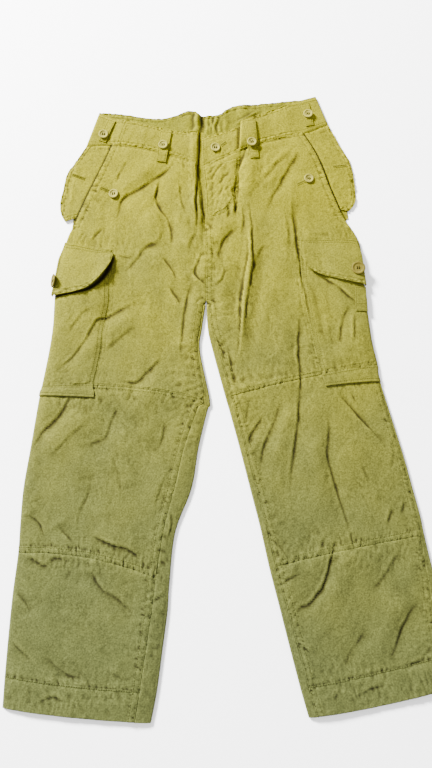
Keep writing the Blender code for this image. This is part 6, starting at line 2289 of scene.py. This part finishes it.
@dataclass
class Button:
    """A turned button with a raised rim, a dished middle, four holes and the thread through them."""

    name: str
    diameter: float
    finish: Finish
    height: float = 3.0
    sides: int = 36
    hole_radius: float = 0.95
    hole_place: float = 1.75
    hole_depth: float = 1.3
    strand: float = 0.36
    strands: tuple = (-0.42, 0.0, 0.42)

    def profile(self) -> Array:
        """(radius, height) round the button's section, from the middle of its face to that of its back."""
        shares = np.array((
            (0.0, 0.55), (0.30, 0.55), (0.56, 0.60), (0.66, 0.74), (0.74, 0.95), (0.82, 1.0), (0.91, 0.96),
            (0.98, 0.78), (1.0, 0.58), (0.97, 0.36), (0.86, 0.17), (0.60, 0.02), (0.30, 0.0), (0.0, 0.0),
        ))  # fmt: skip
        return curve(shares * (self.diameter / 2, self.height), 3)

    def holes(self, x: Array, y: Array) -> Array:
        """1 inside the four holes, and 0 outside them."""
        off = np.hypot(np.abs(x) - self.hole_place, np.abs(y) - self.hole_place)
        return smoothstep((self.hole_radius - off) / 0.35 + 0.5)

    def body(self) -> tuple[Array, Array]:
        """Points and faces of the turned shape, with the face sunk at its holes."""
        section = self.profile()
        fine = np.linspace(0.05, 0.5 * self.diameter / 2, 14)
        rest = np.flatnonzero(section[:, 0] > fine[-1] + 0.2)
        dish = np.interp(fine, section[: rest[0] + 1, 0], section[: rest[0] + 1, 1])
        ring = np.concatenate([np.stack([fine, dish], axis=1), section[rest[0] :]])
        ring[-1, 0] = 0.05
        angle = np.arange(self.sides) * 2 * math.pi / self.sides
        x, y = ring[:, :1] * np.cos(angle), ring[:, :1] * np.sin(angle)
        on_face = np.arange(len(ring))[:, None] < len(fine)
        z = ring[:, 1:] - self.hole_depth * self.holes(x, y) * on_face
        return np.stack([x, y, z], axis=-1).reshape(-1, 3), ring_faces(len(ring), self.sides)

    def thread(self) -> tuple[Array, Array]:
        """Two thread bars of three strands that run down from hole to hole, as bent tubes."""
        t = np.linspace(0, 1, 13)
        angle = np.arange(8) * math.pi / 4
        y = self.hole_place * (2 * t - 1)
        z = 0.55 * self.height - 0.75 + 1.35 * np.sin(math.pi * t) ** 0.35
        tubes = []
        for side in (-1, 1):
            for strand in self.strands:
                x = side * self.hole_place + strand + self.strand * np.cos(angle)[None, :] + 0 * t[:, None]
                ring_z = z[:, None] + self.strand * np.sin(angle)[None, :]
                tubes.append(np.stack([x, y[:, None] + 0 * x, ring_z], axis=-1).reshape(-1, 3))
        faces = ring_faces(len(t), len(angle))
        shifts = np.arange(len(tubes))[:, None, None] * len(tubes[0])
        return np.concatenate(tubes), (faces[None] + shifts).reshape(-1, 4)

    def build(self, room: Workroom, place: Array, tilt: float = 0.0, turn: float = 0.0) -> Piece:
        """Makes the button and its thread at a place, tilted about Y after a turn about its own axis."""
        c, s = math.cos(turn), math.sin(turn)
        spin = np.array([[c, -s, 0], [s, c, 0], [0, 0, 1]])
        c, s = math.cos(tilt), math.sin(tilt)
        matrix = np.array([[c, 0, s], [0, 1, 0], [-s, 0, c]]) @ spin
        points, faces = self.body()
        piece = mesh_object(f"horn_{self.name}", points @ matrix.T + place, outwards(points, faces))
        room.dress(piece, self.finish, self.name)
        points, faces = self.thread()
        thread = mesh_object(f"thread_{self.name}", points @ matrix.T + place, outwards(points, faces))
        room.dress(thread, Finish.THREAD_AND_SLIT_SHADE)
        return piece


def add_buttons(room: Workroom) -> None:
    """Seats the flat-lying buttons on the cloth below them, and the tilted one on its flap's fold."""
    for number, spot in enumerate(BUTTONS):
        centre = np.array([[spot.x, spot.y]], float)
        seat = float(room.relief.under(centre, spot.diameter * 0.28)[0])
        finish = Finish.TAN if "cargo" in spot.name else Finish.HORN
        place = np.array([spot.x, spot.y, seat + 0.1])
        tilt, turn = BUTTON_TILT * (-1) ** number, BUTTON_TURN * (number % 3 - 1)
        Button(spot.name, spot.diameter, finish).build(room, place, tilt, turn)
    low, high = (np.array(corner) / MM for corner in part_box("button_cargo_right"))
    middle = (low + high) / 2 - (CENTRE[0], CENTRE[1], 0)
    outward = np.array([-math.sin(CARGO_BUTTON_TILT), 0.0, math.cos(CARGO_BUTTON_TILT)])
    button = Button("button_cargo_right", CARGO_BUTTON, Finish.TAN)
    button.build(room, middle - outward * button.height / 2, -CARGO_BUTTON_TILT)


# ---------------------------------------------------------------- sewing lines


def dense(line: Array, count: int) -> Array:
    """A line resampled to many points, for sewing along it."""
    travelled = travel(line)
    places = np.linspace(0, travelled[-1], count)
    return np.stack([np.interp(places, travelled, line[:, k]) for k in (0, 1)], axis=-1)


def beside(line: Array, distance: float) -> Array:
    """A line moved sideways, to the left of its direction where distance is positive."""
    direction = unit(np.gradient(line, axis=0))
    return line + distance * np.stack([-direction[:, 1], direction[:, 0]], axis=-1)


# ---------------------------------------------------------------- the studio


@dataclass(frozen=True)
class Studio:
    """A pale floor, soft light from the upper left and the camera above the garment."""

    camera_place: tuple = (-0.0245, -0.2115, 0.9065)
    camera_tilt: float = math.radians(12)
    lens: float = 26.0
    sensor: float = 36.0
    key_power: float = 1650.0
    fill_power: float = 14.0
    sky: float = 1.5
    floor_side: float = 3000.0
    floor_level: float = -0.3

    def build(self) -> None:
        """Makes the floor, the lights, the world and the camera."""
        self.floor()
        self.light("key", (-2.5, 2.5, 1.95), 0.8, self.key_power)
        self.light("fill", (1.3, -0.7, 1.8), 2.0, self.fill_power)
        world = bpy.data.worlds.new("soft_sky")
        world.use_nodes = True
        background = world.node_tree.nodes["Background"]
        background.inputs["Color"].default_value = rgb(1.0, 1.0, 1.0)
        background.inputs["Strength"].default_value = self.sky
        bpy.context.scene.world = world
        data = bpy.data.cameras.new("camera")
        data.lens, data.sensor_width = self.lens, self.sensor
        data.clip_start, data.clip_end = 0.01, 20.0
        camera = bpy.data.objects.new("camera", data)
        camera.location = self.camera_place
        camera.rotation_euler = (self.camera_tilt, 0.0, 0.0)
        bpy.context.scene.collection.objects.link(camera)
        bpy.context.scene.camera = camera

    def floor(self) -> None:
        """Makes the floor just under the cloth."""
        signs = np.array([(-1, -1, 1), (1, -1, 1), (1, 1, 1), (-1, 1, 1)])
        corners = signs * (self.floor_side, self.floor_side, self.floor_level)
        floor = mesh_object("floor", corners, np.array([[0, 1, 2, 3]]))
        floor.data.materials.append(PaleFloor().material())

    def light(self, name: str, place: tuple, size: float, power: float) -> None:
        """Makes a square area light that faces the middle of the garment."""
        data = bpy.data.lights.new(name, "AREA")
        data.size, data.energy = size, power
        lamp = bpy.data.objects.new(name, data)
        lamp.location = place
        away = np.array(place) / np.linalg.norm(place)
        lamp.rotation_euler = (math.acos(away[2]), 0.0, math.atan2(away[0], -away[1]))
        bpy.context.scene.collection.objects.link(lamp)


# ---------------------------------------------------------------- putting it together


class Trousers:
    """The whole garment."""

    def __init__(self) -> None:
        """Sets up both legs and the height of the cloth."""
        self.right = Leg("right", RIGHT_SECTIONS, RIGHT_BACK, -1)
        self.left = Leg("left", LEFT_SECTIONS, LEFT_BACK, 1)
        self.cloth = ClothField(self.right, self.left)
        self.room = Workroom()

    def panels(self) -> list[LegPanel]:
        """The front pieces, with the way that each laps its neighbours at its top and its foot."""
        over, under, free, sewn = Lap.OVER, Lap.UNDER, Lap.FREE, Lap.SEWN
        made = []
        for leg, front, foot, knee in ((self.right, 275, under, over), (self.left, 285, over, under)):
            rows = (
                ("front_panel", "waist", "knee_seam", under, foot, (front, 480)),
                ("knee_panel", "knee_seam", "shin_seam", knee, over, (300, 290)),
                ("shin_panel", "shin_seam", "hem_stitch", under, sewn, (240, 190)),
                ("hem_band", "hem_stitch", "hem", sewn, free, (235, 48)),
            )
            made += [LegPanel(leg, self.cloth, f"{name}_{leg.name}", *row) for name, *row in rows]
        return made

    def build(self) -> None:
        """Lays every piece in order, from the floor up."""
        room, cloth, right, left = self.room, self.cloth, self.right, self.left
        pieces = [
            BackPanel(right, cloth, (380, 1040)),
            BackPanel(left, cloth, (380, 1040)),
            BackBand(),
            *self.panels(),
            CargoPocket(right, cloth),
            CargoPocket(left, cloth),
            HipFlap("hip_flap_right", right, RIGHT_HIP_FLAP, (RIGHT_BAND_SIDE, (-215, 427)), 21),
            HipFlap("hip_flap_left", left, LEFT_HIP_FLAP, ((138, 450), LEFT_BAND_SIDE), 22),
            RightBand(right, cloth),
            LeftBand(left, cloth),
            FlyFacing(cloth),
            ClothStrap(POCKET_PLEAT, 0.0, ("cargo_pocket_left",)),
            CargoFlap("cargo_flap_right", cloth, RIGHT_CARGO_FLAP, 2.4, 0.5, 4.5),
            CargoFlap("cargo_flap_left", cloth, LEFT_CARGO_FLAP, 4.5, 0.35, 0.8),
        ]
        for loop in BELT_LOOPS:
            side = "right" if "right" in loop.name else "left"
            pieces.append(ClothStrap(loop, 1.2, ("waistband_" + side,)))
        for piece in pieces:
            piece.build(room)
        add_buttons(room)
        for ends in BUTTONHOLES:
            room.buttonhole(ends)
        self.sew_leg(right)
        self.sew_leg(left)
        self.sew_middle()
        room.finish()

    def on_front(self, line: Array, lift: float) -> Array:
        """A line of the plan laid on the front cloth."""
        return joined(line, self.cloth.height(line) + lift)

    def sew_leg(self, leg: Leg) -> None:
        """Adds one leg's double rows of stitches, each row as far from its seam as its needle sat."""
        seams = Sewing(f"stitches_leg_{leg.name}")
        inward = -leg.outwards
        runs = [(leg.long_seam(True, "crotch", "hem"), leg.outwards, (2.0, 9.5), FELL)]
        if leg.outwards > 0:
            runs.append((leg.long_seam(False, "knee_seam", "hem"), inward, (2.0, 9.0), FELL))
        runs.append((leg.seam("knee_seam"), -1, (1.6, 6.4), FELL))
        runs.append((leg.seam("shin_seam"), inward, (1.6, 8.0), FELL))
        runs.append((leg.seam("hem_stitch"), -1, (0.4,), FELL))
        runs.append((leg.slash(), inward, (2.4, 11.5), 0.0))
        for line, side, distances, lift in runs:
            for distance in distances:
                seams.run(self.on_front(beside(dense(line, 900), side * distance), lift))
        self.room.lay(seams)

    def sew_middle(self) -> None:
        """Adds the rows of stitches of the centre seam and the fly."""
        middle = Sewing("stitches_fly")
        centre = np.array([(x, y) for y, x in CENTRE_SEAM[::-1]], float)
        fly, edge = curve([row[2:4] for row in FLY_ROWS]), curve([row[0:2] for row in FLY_ROWS])
        for line, distances, lift in (
            (centre, (2.0, 8.5), FELL),
            (fly, (-2.0, -6.0), FELL + 0.2),
            (edge, (2.2,), FELL + 0.3),
        ):
            for distance in distances:
                middle.run(self.on_front(beside(dense(line, 300), distance), lift))
        self.room.lay(middle)


def main() -> None:
    """Builds the garment and the studio."""
    logging.basicConfig(level=logging.INFO, format="%(message)s")
    Trousers().build()
    Studio().build()


if __name__ == "__main__":
    main()
